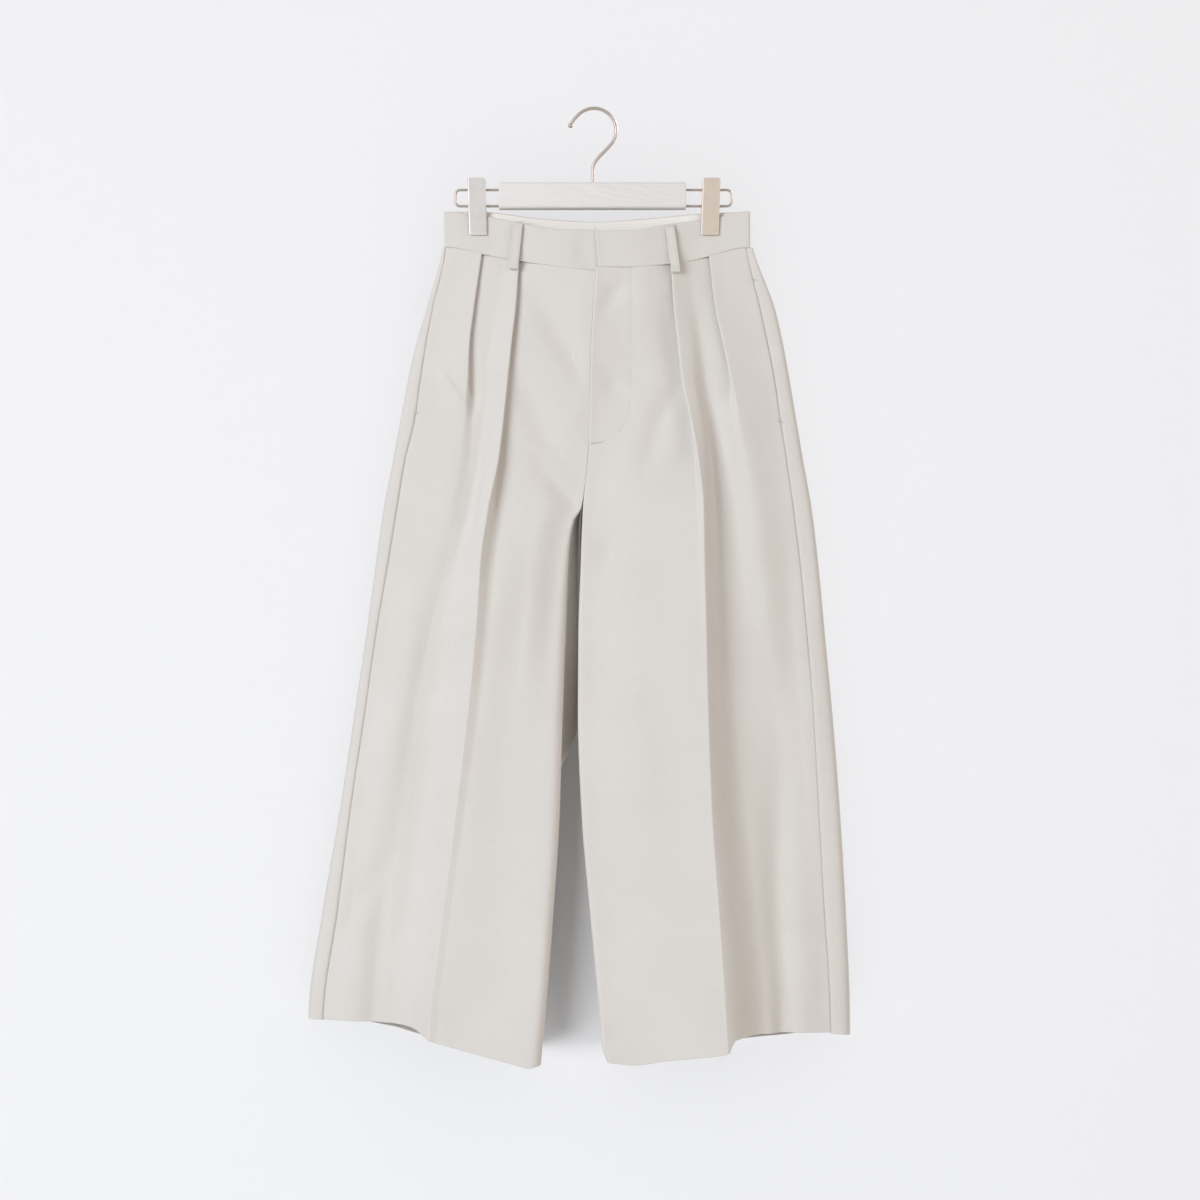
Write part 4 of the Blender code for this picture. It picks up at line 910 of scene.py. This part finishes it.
def laidOn(tree, line, side, proud, step=1.2):  # a line of x and z in short steps, on the face seen from a side
    line = np.array(line, float)
    along = lengths(line)
    places = np.linspace(0, along[-1], max(2, int(along[-1] / step) + 1))
    laid = []
    for x, z in zip(np.interp(places, along, line[:, 0]), np.interp(places, along, line[:, 1])):
        hit = tree.ray_cast(Vector((x, side * stitch["seenFrom"], z)) * mm, Vector((0, -side, 0)))[0]
        if hit:
            laid.append((x, hit.y / mm + side * proud, z))
    return laid


def stitchTree():
    tree = bpy.data.node_groups.new("stitches", "GeometryNodeTree")
    for name, kind in (("Geometry", "Geometry"), ("Spacing", "Float"), ("Length", "Float"), ("Thread", "Float"),
                       ("Material", "Material")):
        tree.interface.new_socket(name, in_out="INPUT", socket_type="NodeSocket" + kind)
    tree.interface.new_socket("Geometry", in_out="OUTPUT", socket_type="NodeSocketGeometry")
    nodes = {name: tree.nodes.new(kind) for name, kind in (
        ("given", "NodeGroupInput"), ("result", "NodeGroupOutput"), ("curve", "GeometryNodeMeshToCurve"),
        ("points", "GeometryNodeCurveToPoints"), ("turn", "FunctionNodeAlignRotationToVector"),
        ("ball", "GeometryNodeMeshUVSphere"), ("scale", "ShaderNodeCombineXYZ"),
        ("instance", "GeometryNodeInstanceOnPoints"), ("realize", "GeometryNodeRealizeInstances"),
        ("paint", "GeometryNodeSetMaterial"))}
    nodes["points"].mode, nodes["turn"].axis = "LENGTH", "Z"
    for socket, value in (("Segments", 8), ("Rings", 7), ("Radius", 0.5)):
        nodes["ball"].inputs[socket].default_value = value
    for link in ("given Geometry curve Mesh", "curve Curve points Curve", "given Spacing points Length",
                 "points Points instance Points", "points Tangent turn Vector", "turn Rotation instance Rotation",
                 "given Thread scale X", "given Thread scale Y", "given Length scale Z",
                 "scale Vector instance Scale", "ball Mesh instance Instance", "instance Instances realize Geometry",
                 "realize Geometry paint Geometry", "given Material paint Material",
                 "paint Geometry result Geometry"):
        source, output, target, socket = link.split()
        tree.links.new(nodes[source].outputs[output], nodes[target].inputs[socket])
    return tree


def stitched(name, lines):  # one piece with a row of stitches along each line
    vertices, edges = [], []
    for line in lines:
        edges += [(len(vertices) + k, len(vertices) + k + 1) for k in range(len(line) - 1)]
        vertices += line
    mesh = bpy.data.meshes.new(name)
    mesh.from_pydata((np.array(vertices) * mm).tolist(), edges, [])
    piece = linked(name, mesh)
    sew = piece.modifiers.new("stitches", "NODES")
    sew.node_group = stitches
    ask = {item.name: item.identifier for item in stitches.interface.items_tree if item.in_out == "INPUT"}
    for what in ("Spacing", "Length", "Thread"):
        sew[ask[what]] = stitch[what.lower()] * mm
    sew[ask["Material"]] = materials["thread"]
    keepModified(piece)
    piece.data.shade_smooth()
    return piece


def tackLine(a, b, width):  # a close zigzag between two places of x and z
    a, b = np.array(a, float), np.array(b, float)
    run = b - a
    long = np.linalg.norm(run)
    across = np.array((-run[1], run[0])) / long * width / 2
    turns = int(long / stitch["tackStep"])
    return [tuple(a + run * k / turns + across * (-1) ** k) for k in range(turns + 1)]


def buildTacks(name, tacks):  # tacks: tree, side, first place, last place, width
    grids = []
    for tree, side, a, b, width in tacks:
        path = laidOn(tree, tackLine(a, b, width), side, stitch["tackProud"], stitch["tackLaid"])
        assert len(path) > 4, (name, a, b)
        grids.append(tubeGrid(path, stitch["tackThick"] / 2, 6))
    piece = newPiece(name, *joined(*grids))
    piece.data.materials.append(materials["thread"])
    return piece


# Hanger

hook = {
    "wire": 3.4, "radius": 22.0, "ball": 5.2, "stemX": -1.3, "stemFoot": -77.0, "bore": 4.0, "boreTop": -66.0,
    "tip": ((-24.6, -18.0), (-23.6, -15.8), (-22.4, -13.2), (-20.2, -9.6)),
    "bend": (138, -28), "sweepFoot": -60.0, "sweepPull": 34.0,
}
bar = {"x": (-95.0, 92.0), "z": (-99.3, -73.0), "depth": 13.0, "round": 3.0, "lowBackRound": 1.5, "endRound": 0.8}
wires = {"thick": 2.6, "x": (-138.4, 137.4), "z": (-96.2, -80.0), "corner": 4.5, "groove": 3.2}
clip = {
    "x": (-116.5, 116.5), "width": 18.0, "z": (-126.0, -69.0), "plate": 1.0, "corner": 1.6,
    "frontFlange": 8.4, "backFlange": 6.9, "flangeZ": (-100.5, -76.5), "lean": 0.03,
    "springWire": 1.1, "springTurns": 7, "springLength": 10.6, "springClear": 0.3,
    "rolled": (0.5, 1.3), "edgeRound": 0.35, "flangeDepth": 2.6, "flangeIn": 0.7,
}
plateStand = Table(
    "z stand",
    "-126 5.7; -116 5.7; -110 5.8; -103 6.5; -94 7; -84 7; -69 7.8",
)


def arc(centre, radius, start, stop, steps):
    return [(centre[0] + radius * math.cos(a), centre[1] + radius * math.sin(a))
            for a in np.radians(np.linspace(start, stop, steps + 1))]


def ringFaces(rings, sides, closed=False):  # between rings of vertices, with a cap at both ends if it isn't closed
    faces = [(r * sides + k, r * sides + (k + 1) % sides, (r + 1) % rings * sides + (k + 1) % sides,
              (r + 1) % rings * sides + k) for r in range(rings if closed else rings - 1) for k in range(sides)]
    caps = [tuple(range(sides))[::-1], tuple((rings - 1) * sides + k for k in range(sides))]
    return faces if closed else faces + caps


def tubeGrid(path, radii, sides, closed=False):  # vertices and faces of a tube that lies along a path
    path = np.asarray(path, float)
    if closed:
        way = np.roll(path, -1, axis=0) - np.roll(path, 1, axis=0)
    else:
        way = np.gradient(path, axis=0)
    way /= np.linalg.norm(way, axis=1, keepdims=True)
    side = np.cross(way[0], (0, 1, 0) if abs(way[0][1]) < 0.9 else (0, 0, 1))
    vertices = []
    for place, along, radius in zip(path, way, np.broadcast_to(radii, len(path))):
        side = side - along * np.dot(side, along)
        side /= np.linalg.norm(side)
        other = np.cross(along, side)
        vertices += [place + radius * (math.cos(a) * side + math.sin(a) * other)
                     for a in np.linspace(0, math.tau, sides, endpoint=False)]
    return vertices, ringFaces(len(path), sides, closed)


def prismGrid(outline, ends, rounding=0.0):  # an outline in y and z, carried along x, with its ends rounded off
    outline = np.asarray(outline, float)
    most, least = outline.max(axis=0), outline.min(axis=0)
    centre, half = (most + least) / 2, (most - least) / 2
    rings = []
    steps = np.linspace(0, 90, 5) if rounding else (90,)
    for end, way in ((ends[0], 1), (ends[1], -1)):
        some = []
        for a in np.radians(steps):
            inset = rounding * (1 - math.sin(a))
            ring = centre + (outline - centre) * (1 - inset / half)
            some.append([(end + way * rounding * (1 - math.cos(a)), y, z) for y, z in ring])
        rings += some if way > 0 else some[::-1]
    return [v for ring in rings for v in ring], ringFaces(len(rings), len(outline))


def buildHook():
    centre = (0.0, -hook["radius"] + hook["wire"] / 2)
    bend = arc(centre, hook["radius"], *hook["bend"], 60)
    tip = [np.array(p) for p in (*hook["tip"], bend[0])]
    head = [tuple(a + (b - a) * t) for a, b in zip(tip, tip[1:]) for t in np.linspace(0, 1, 9)[:-1]]
    start, stop = np.array(bend[-1]), np.array((hook["stemX"], hook["sweepFoot"]))
    leave = math.radians(hook["bend"][1] - 90)
    into, down = np.array((math.cos(leave), math.sin(leave))), np.array((0.0, -1.0))
    sweep = [a * start + b * stop + hook["sweepPull"] * (c * into + d * down)
             for a, b, c, d in map(weights, np.linspace(0, 1, 40)[1:])]
    stem = [(hook["stemX"], z) for z in np.linspace(hook["sweepFoot"] - 2, hook["stemFoot"], 8)]
    path = np.array(head + bend + [tuple(p) for p in sweep] + stem)
    along = lengths(path)
    ball = hook["ball"] / 2
    bulge = np.sqrt(np.clip(ball ** 2 - (along - ball) ** 2, 0.01, None))
    radii = np.maximum(bulge, np.where(along > ball, hook["wire"] / 2, 0))
    return newPiece("hanger_hook", *tubeGrid([(x, 0, z) for x, z in path], radii, 20))


def cutOut(piece, tool):  # cuts a tool out of a piece, for good
    cut = piece.modifiers.new("cut", "BOOLEAN")
    cut.operation, cut.solver, cut.object = "DIFFERENCE", "EXACT", tool
    keepModified(piece)
    bpy.data.objects.remove(tool)
    return piece


def buildBar():
    half, (low, high), r, small = bar["depth"] / 2, bar["z"], bar["round"], bar["lowBackRound"]
    g = wires["groove"] / 2
    outline = arc((-half + r, low + r), r, 180, 270, 10) + arc((half - small, low + small), small, 270, 360, 6)
    for wire in wires["z"]:
        groove = arc((0.0, wire), g, 270, 90, 8)[1:-1]
        outline += [(half, wire - g), (0.0, wire - g)] + groove + [(0.0, wire + g), (half, wire + g)]
    outline += arc((half - r, high - r), r, 0, 90, 10) + arc((-half + r, high - r), r, 90, 180, 10)
    bore = [(hook["stemX"], 0, z) for z in (hook["stemFoot"] - 0.3, hook["boreTop"])]
    return cutOut(newPiece("hanger_bar", *prismGrid(outline, bar["x"], bar["endRound"])),
                  newPiece("stem_bore", *tubeGrid(bore, hook["bore"] / 2, 24)))


def buildFrame():
    (x0, x1), (z0, z1), r = wires["x"], wires["z"], wires["corner"]
    path = []
    for centre, start in (((x1 - r, z1 - r), 90), ((x1 - r, z0 + r), 0),
                          ((x0 + r, z0 + r), -90), ((x0 + r, z1 - r), -180)):
        path += arc(centre, r, start, start - 90, 12)
    return newPiece("hanger_frame", *tubeGrid([(x, 0, z) for x, z in path], wires["thick"] / 2, 18, closed=True))


def buildPlate(name, x, side, flangeX):
    half, (low, high), corner = clip["width"] / 2, clip["z"], clip["corner"]
    heights = np.concatenate((low + corner * (1 - np.cos(np.radians(np.linspace(0, 90, 7)))),
                              np.linspace(low + corner + 1, high - corner - 1, 34),
                              high - corner * (1 - np.cos(np.radians(np.linspace(90, 0, 7))))))
    rows = []
    for z in heights:
        end = min(z - low, high - z)
        width = half - corner + math.sqrt(max(corner ** 2 - max(corner - end, 0) ** 2, 0.0))
        stand = plateStand("stand", z) - clip["plate"] / 2
        across = np.concatenate([np.linspace(*run) for run in ((-1, -0.86, 4), (-0.8, 0.8, 9), (0.86, 1, 4))]) * width
        lift, reach = clip["rolled"]
        rolled = lift * np.clip((np.abs(across) - half + reach) / reach, 0, 1) ** 2
        rows.append([(x + w, side * (stand - lift), z) for w, lift in zip(across, rolled)])
    grids = [wallGrid(np.array(rows), clip["plate"], clip["edgeRound"], np.array((0.0, 1.0, 0.0)), 0.2)]
    inner = -side * clip["flangeDepth"]
    g, (z0, z1) = wires["groove"] / 2, clip["flangeZ"]
    outline = [(side * (plateStand("stand", z) - clip["flangeIn"]), z) for z in np.linspace(z0, z1, 10)]
    outline.append((inner, z1))
    for wire in reversed(wires["z"]):
        notch = [(side * g * math.cos(a), wire + g * math.sin(a)) for a in np.radians(np.linspace(90, -90, 9))]
        outline += [(inner, wire + g)] + notch + [(inner, wire - g)]
    outline.append((inner, z0))
    for edge in (-1, 1):
        centre = x + edge * flangeX
        grids.append(prismGrid(outline, (centre - clip["plate"] / 2, centre + clip["plate"] / 2)))
    vertices, faces = joined(*grids)
    lean = math.copysign(clip["lean"], -x)
    vertices = [(px + lean * ((low + high) / 2 - pz), py, pz) for px, py, pz in vertices]
    return newPiece(name, vertices, faces)


def buildSpring(name, x):
    radius = wires["thick"] / 2 + clip["springClear"] + clip["springWire"] / 2
    turns, length = clip["springTurns"], clip["springLength"] - clip["springWire"]
    path = [(x - length / 2 + length * t, radius * math.cos(math.tau * turns * t),
             wires["z"][0] + radius * math.sin(math.tau * turns * t)) for t in np.linspace(0, 1, turns * 24 + 1)]
    return newPiece(name, *tubeGrid(path, clip["springWire"] / 2, 10))


hanger = {"hanger_hook": buildHook(), "hanger_bar": buildBar(), "hanger_frame": buildFrame()}
for name, x in zip(("clip_left_", "clip_right_"), clip["x"]):
    hanger[name + "front"] = buildPlate(name + "front", x, -1, clip["frontFlange"])
    hanger[name + "back"] = buildPlate(name + "back", x, 1, clip["backFlange"])
    hanger[name + "spring"] = buildSpring(name + "spring", x)
print(len(hanger), "hanger pieces made")


# Materials

class Nodes:  # short ways to make and link a material's nodes
    def __init__(self, name):
        self.material = bpy.data.materials.new(name)
        self.material.use_nodes = True
        self.tree = self.material.node_tree
        self.tree.nodes.clear()

    def node(self, kind, inputs=(), **settings):
        node = self.tree.nodes.new("ShaderNode" + kind)
        for key, value in settings.items():
            setattr(node, key, value)
        for key, value in dict(inputs).items():
            if isinstance(value, bpy.types.NodeSocket):
                self.tree.links.new(value, node.inputs[key])
            else:
                node.inputs[key].default_value = value
        return node

    def place(self):
        return self.node("TexCoord").outputs["Object"]

    def math(self, operation, a, b=0.0):
        return self.node("Math", {0: a, 1: b}, operation=operation).outputs[0]

    def noise(self, vector, scale, detail=2.0, rough=0.5, stretch=(1, 1, 1), offset=(0, 0, 0)):
        placed = self.node("Mapping", {"Vector": vector, "Scale": stretch, "Location": offset}).outputs[0]
        settings = {"Vector": placed, "Scale": scale, "Detail": detail, "Roughness": rough}
        return self.node("TexNoise", settings).outputs["Fac"]

    def blend(self, fac, low, high):  # a colour between two, by a factor
        low, high = (end if isinstance(end, bpy.types.NodeSocket) else (*end, 1) for end in (low, high))
        return self.node("Mix", {"Factor": fac, 6: low, 7: high}, data_type="RGBA").outputs[2]

    def ramp(self, value, low, high, toLow=0.0, toHigh=1.0):
        return self.node("MapRange", {"Value": value, "From Min": low, "From Max": high,
                                      "To Min": toLow, "To Max": toHigh}).outputs[0]

    def mixed(self, fac, first, second):
        return self.node("MixShader", {0: fac, 1: first.outputs[0], 2: second.outputs[0]})

    def surface(self, colour, rough, relief, **more):  # relief: its height, distance and strength
        normal = self.node("Bump", dict(zip(("Height", "Distance", "Strength"), relief))).outputs[0]
        return self.finish(self.node("BsdfPrincipled", {
            "Base Color": colour, "Roughness": rough, "Normal": normal, **more}))

    def finish(self, shader):
        self.tree.links.new(shader.outputs[0], self.node("OutputMaterial").inputs[0])
        return self.material


fabric = {
    "cloth": {"light": (0.755, 0.717, 0.682), "dark": (0.695, 0.651, 0.609), "rough": 0.88, "sheen": 0.08},
    # the facing is painted paler than the cloth: painted light, for the light from the front that falls on it above
    # the front band
    "facing": {"light": (0.93, 0.89, 0.845), "dark": (0.90, 0.85, 0.80), "rough": 0.8, "sheen": 0.05},
    "twill": 0.0009,    # metres from one line of the weave to the next
}


def fabricMaterial(name):
    look, n = fabric[name], Nodes(name)
    uv = n.node("UVMap", uv_map="weave").outputs[0]
    across, along, _ = n.node("SeparateXYZ", {0: uv}).outputs
    warp = n.noise(uv, 1.0, 2, 0.6, (1900, 42, 1))
    weft = n.noise(uv, 1.0, 2, 0.6, (38, 1500, 1), (7, 3, 0))
    twill = n.math("SINE", n.math("MULTIPLY", n.math("ADD", across, along), math.tau / fabric["twill"]))
    grain = n.math("ADD", n.math("MULTIPLY", warp, 0.55), n.math("MULTIPLY", weft, 0.45))
    soft = n.noise(uv, 14.0, 3, 0.5)
    tone = n.math("ADD", n.ramp(grain, 0.3, 0.7, -0.35, 0.35), n.ramp(soft, 0.3, 0.7, 0.3, 0.7))
    height = n.math("ADD", grain, n.math("MULTIPLY", twill, 0.10))
    return n.surface(n.blend(tone, look["dark"], look["light"]), look["rough"], (height, 0.00022, 0.55), **{
        "Specular IOR Level": 0.25, "Sheen Weight": look["sheen"], "Sheen Roughness": 0.45})


def woodMaterial():  # pale wood under a thin white wash, with slanting grain
    n = Nodes("wood")
    place = n.place()
    slanted = n.node("Mapping", {"Vector": place, "Rotation": (0, math.radians(-14), 0)}).outputs[0]
    grain = n.noise(slanted, 1.0, 4, 0.6, (46, 200, 620))
    pores = n.noise(slanted, 1.0, 2, 0.5, (120, 900, 2600), (2, 5, 1))
    wash = n.ramp(n.noise(place, 60.0, 3, 0.5), 0.3, 0.7, 0.3, 1.0)
    washed = n.blend(n.ramp(grain, 0.36, 0.66), (0.775, 0.735, 0.712), (0.825, 0.79, 0.77))
    dark = n.math("MULTIPLY", n.ramp(pores, 0.60, 0.72, 0.0, 0.22), wash)
    relief = n.math("ADD", grain, n.math("MULTIPLY", pores, -0.5))
    return n.surface(n.blend(dark, washed, (0.62, 0.52, 0.46)), 0.55, (relief, 0.00025, 0.5), **{
        "Specular IOR Level": 0.35})


def steelMaterial(name, colour, rough, grain, metallic, other=None):  # its tone may change from left to right: a painted reflection
    n = Nodes(name)
    place = n.place()
    # painted reflection: the colour turns to the other one across x = 0
    if other:
        along = n.node("SeparateXYZ", {0: place}).outputs[0]
        colour = n.blend(n.ramp(along, -0.10, 0.10), colour, other)
    fine = n.noise(place, 1.0, 2, 0.6, grain)
    stain = n.ramp(n.noise(place, 90.0, 3, 0.5), 0.35, 0.75, 0.0, 0.18)
    roughness = n.ramp(fine, 0.3, 0.7, rough - 0.05, rough + 0.06)
    return n.surface(n.blend(stain, colour, (0.42, 0.38, 0.34)), roughness, (fine, 0.00003, 0.4), Metallic=metallic)


def threadMaterial():
    n = Nodes("thread")
    twist = n.noise(n.place(), 1800.0, 2, 0.6)
    return n.surface(n.blend(twist, (0.63, 0.59, 0.545), (0.72, 0.685, 0.645)), 0.7, (twist, 0.00006, 0.6), **{
        "Specular IOR Level": 0.3})


materials = {
    "cloth": fabricMaterial("cloth"),
    "thread": threadMaterial(),
    "facing": fabricMaterial("facing"),
    "wood": woodMaterial(),
    "steel": steelMaterial("steel", (0.585, 0.515, 0.46), 0.42, (500, 500, 500), 0.7),
    # the clips' plates are painted warmer on the right clip: a painted reflection of the room
    "clip_steel": steelMaterial("clipSteel", (0.76, 0.72, 0.695), 0.45, (2600, 2600, 90), 0.40, (0.77, 0.65, 0.56)),
}
print("materials made")

stitches = stitchTree()
trees = {side: faceTree(*(sheets[face + side][0] for face in ("front_", "back_"))) for side in ("left", "right")}
flyStitching = stitched("flyStitching", [laidOn(trees["right"], fly["stitchLine"], -1, stitch["proud"])])
loopLines, tacks = [], []
for piece, x, y, z, side in loops.values():
    tree = faceTree(piece)
    for away in (-1, 1):
        inset = away * (loop["width"] / 2 - loop["stitchInset"])
        loopLines.append(laidOn(tree, [(x[2] + inset, z[2]), (x[-3] + inset, z[-3])], side, stitch["proud"]))
    width, reach = stitch["loopTack"]
    tacks += [(tree, side, (x[k] - reach, z[k]), (x[k] + reach, z[k]), width) for k in (-4, 4)]
loopStitching = stitched("loopStitching", loopLines)
tacks += [(trees[leg], -1, a, b, stitch["tackWidth"]) for a, b, leg in fly["tacks"]]
tacking = buildTacks("tacking", tacks)
print("stitching made,", [len(p.data.polygons) for p in (flyStitching, loopStitching, tacking)])


# What each piece is, hangs from and stands for

def settle(piece, node, slot):
    piece.data.materials.clear()
    piece.data.materials.append(materials[slot])
    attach(piece, "root")
    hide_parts(node)


for name, (piece, *_) in (*sheets.items(), *loops.items()):
    settle(piece, name, "facing" if name == "waistband_facing" else "cloth")
for piece in (flyStitching, loopStitching, tacking):
    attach(piece, "root")
for name, piece in hanger.items():
    settle(piece, name, "wood" if name.endswith("bar") else
           "clip_steel" if name.startswith("clip") and not name.endswith("spring") else "steel")

for name, (piece, size, area) in sheets.items():
    along = [loops[other][0] for other in loops if (
        (name == "waistband_back" and "_back" in other) or name.replace("waistband", "belt_loop") == other)]
    along += {"front_right": [flyStitching, tacking], "waistband_front_right": [loopStitching]}.get(name, [])


# Stage, camera and light

view = {"distance": 2.4, "centre": (0.006, -0.490), "lens": 72.0, "sensor": 36.0, "nearest": 0.05}
room = {
    # painted light: the backdrop's colour is scaled from the first factor low down to the second up high, over the
    # span of heights
    "lighterUp": (0.965, 1.075), "lighterFrom": (-1.1, 0.1), "wallY": 0.039, "wallSize": 2.6, "floorZ": -1.7,
    "floorSize": 3.2, "wallColour": (0.865, 0.88, 0.915), "floorColour": (0.86, 0.86, 0.86),
}
behind = {  # the part of the wall that the legs cover, in metres, and how it glows there and elsewhere
    "top": (-0.13, -0.05), "foot": (-0.89, -0.96), "span": (-0.13, -0.92), "middle": (0.0025, -0.015),
    "reach": (0.1375, 0.26), "edge": (0.85, 1.08), "glow": (0.18, 0.44), "colour": (1.0, 0.965, 0.93, 1.0),
}


def stagePlane(name, corners, colour):
    mesh = bpy.data.meshes.new(name)
    mesh.from_pydata(corners, [], [(0, 1, 2, 3)])
    plane = linked(name, mesh)
    n = Nodes(name)
    x, _, z = n.node("SeparateXYZ", {0: n.place()}).outputs
    # painted light: the colour grows lighter towards the top
    colour = n.blend(n.ramp(z, *room["lighterFrom"]), *([c * share for c in colour] for share in room["lighterUp"]))
    paint = n.node("BsdfPrincipled", {"Base Color": colour, "Roughness": 0.9, "Specular IOR Level": 0.1})
    if name == "wall":  # unseen from behind; it gives the cloth an even glow, dim where the legs hang close to it
        middle, reach = (n.ramp(z, *behind["span"], *behind[key]) for key in ("middle", "reach"))
        out = n.math("DIVIDE", n.math("ABSOLUTE", n.math("SUBTRACT", x, middle), 0.0), reach)
        beyond = n.math("MAXIMUM", n.ramp(z, *behind["top"]), n.ramp(z, *behind["foot"]))
        away = n.math("MAXIMUM", n.ramp(out, *behind["edge"]), beyond)
        glow = n.node("Emission", {"Color": behind["colour"], "Strength": n.ramp(away, 0.0, 1.0, *behind["glow"])})
        paint = n.mixed(n.node("LightPath").outputs["Is Diffuse Ray"], paint, glow)
        n.material.cycles.emission_sampling = "NONE"
        paint = n.mixed(n.node("NewGeometry").outputs["Backfacing"], paint, n.node("BsdfTransparent"))
    plane.data.materials.append(n.finish(paint))
    return plane


half, y, low, high = room["wallSize"] / 2, room["wallY"], room["floorZ"], view["centre"][1] + room["wallSize"] / 2
wall = stagePlane("wall", [(-half, y, low), (half, y, low), (half, y, high), (-half, y, high)], room["wallColour"])
half = room["floorSize"] / 2
stagePlane("floor", [(-half, -half, low), (half, -half, low), (half, half, low), (-half, half, low)],
           room["floorColour"])

scene = bpy.context.scene
camera = scene.camera = linked("camera", bpy.data.cameras.new("camera"))
camera.data.lens, camera.data.sensor_width, camera.data.clip_start = view["lens"], view["sensor"], view["nearest"]
camera.location = (view["centre"][0], -view["distance"], view["centre"][1])
camera.rotation_euler = (math.radians(90), 0, 0)
scene.view_settings.view_transform = "Standard"

lampTarget = (0.0, 0.0, -0.5)
lights = {  # place and width in metres, power in watts, colour, what it lights, what screens it
    "key": ((-3.6, -4.1, 0.8), 2.8, 220.0, (0.845, 0.92, 0.99), "garment", "all"),
    "side": ((4.6, -1.9, 0.2), 3.0, 34.0, (1.0, 0.925, 0.84), "garment", "all"),
    "fill": ((3.2, -4.0, 0.1), 3.0, 34.0, (1.0, 0.97, 0.93), "garment", "all"),
    "wallKey": ((-2.2, -4.9, -1.5), 2.2, 151.0, (0.965, 0.98, 1.0), "wall", "left leg"),
    "wallSide": ((3.6, -4.5, -1.2), 2.2, 72.0, (1.0, 0.985, 0.96), "wall", "right leg"),
    "back": ((0.4, 3.8, 1.2), 3.4, 54.0, (1.0, 0.985, 0.96), "garment", "garment"),
    "backKey": ((2.6, 3.2, 1.5), 1.6, 114.0, (0.93, 0.965, 1.0), "garment", "garment"),
}
lit = {"all": None}
leftLeg, rightLeg = ([sheets[face + side][0] for face in ("front_", "back_")] for side in ("left", "right"))
for what, objects, state in (("garment", [wall], "EXCLUDE"), ("wall", [wall], "INCLUDE"),
                             ("left leg", leftLeg, "INCLUDE"), ("right leg", rightLeg, "INCLUDE")):
    lit[what] = bpy.data.collections.new("lit " + what)
    for item, obj in enumerate(objects):
        lit[what].objects.link(obj)
        lit[what].collection_objects[item].light_linking.link_state = state
for name, (place, width, power, colour, onto, screens) in lights.items():
    data = bpy.data.lights.new(name, "AREA")
    data.shape, data.size, data.size_y, data.energy, data.color = "RECTANGLE", width, width, power, colour
    data.cycles.max_bounces = 0 if name.startswith("back") else 1024  # the back's light stays off the wall in front
    lamp = linked(name, data)
    lamp.location = place
    lamp.rotation_euler = (Vector(lampTarget) - Vector(place)).to_track_quat("-Z", "Y").to_euler()
    lamp.light_linking.receiver_collection, lamp.light_linking.blocker_collection = lit[onto], lit[screens]

skies = {"ambient": ((1.0, 0.945, 0.885, 1), 0.38), "seen": ((0.955, 0.965, 0.98, 1), 0.88)}  # colour, strength
world = scene.world = bpy.data.worlds.new("world")
world.use_nodes = True
sky = world.node_tree
ambient, seen, path, mixed = sky.nodes["Background"], *(
    sky.nodes.new("ShaderNode" + kind) for kind in ("Background", "LightPath", "MixShader"))
for node, look in ((ambient, skies["ambient"]), (seen, skies["seen"])):
    node.inputs["Color"].default_value, node.inputs["Strength"].default_value = look
for source, target in ((path.outputs["Is Camera Ray"], mixed.inputs[0]), (ambient.outputs[0], mixed.inputs[1]),
                       (seen.outputs[0], mixed.inputs[2]), (mixed.outputs[0], sky.nodes["World Output"].inputs[0])):
    sky.links.new(source, target)
print("stage set")
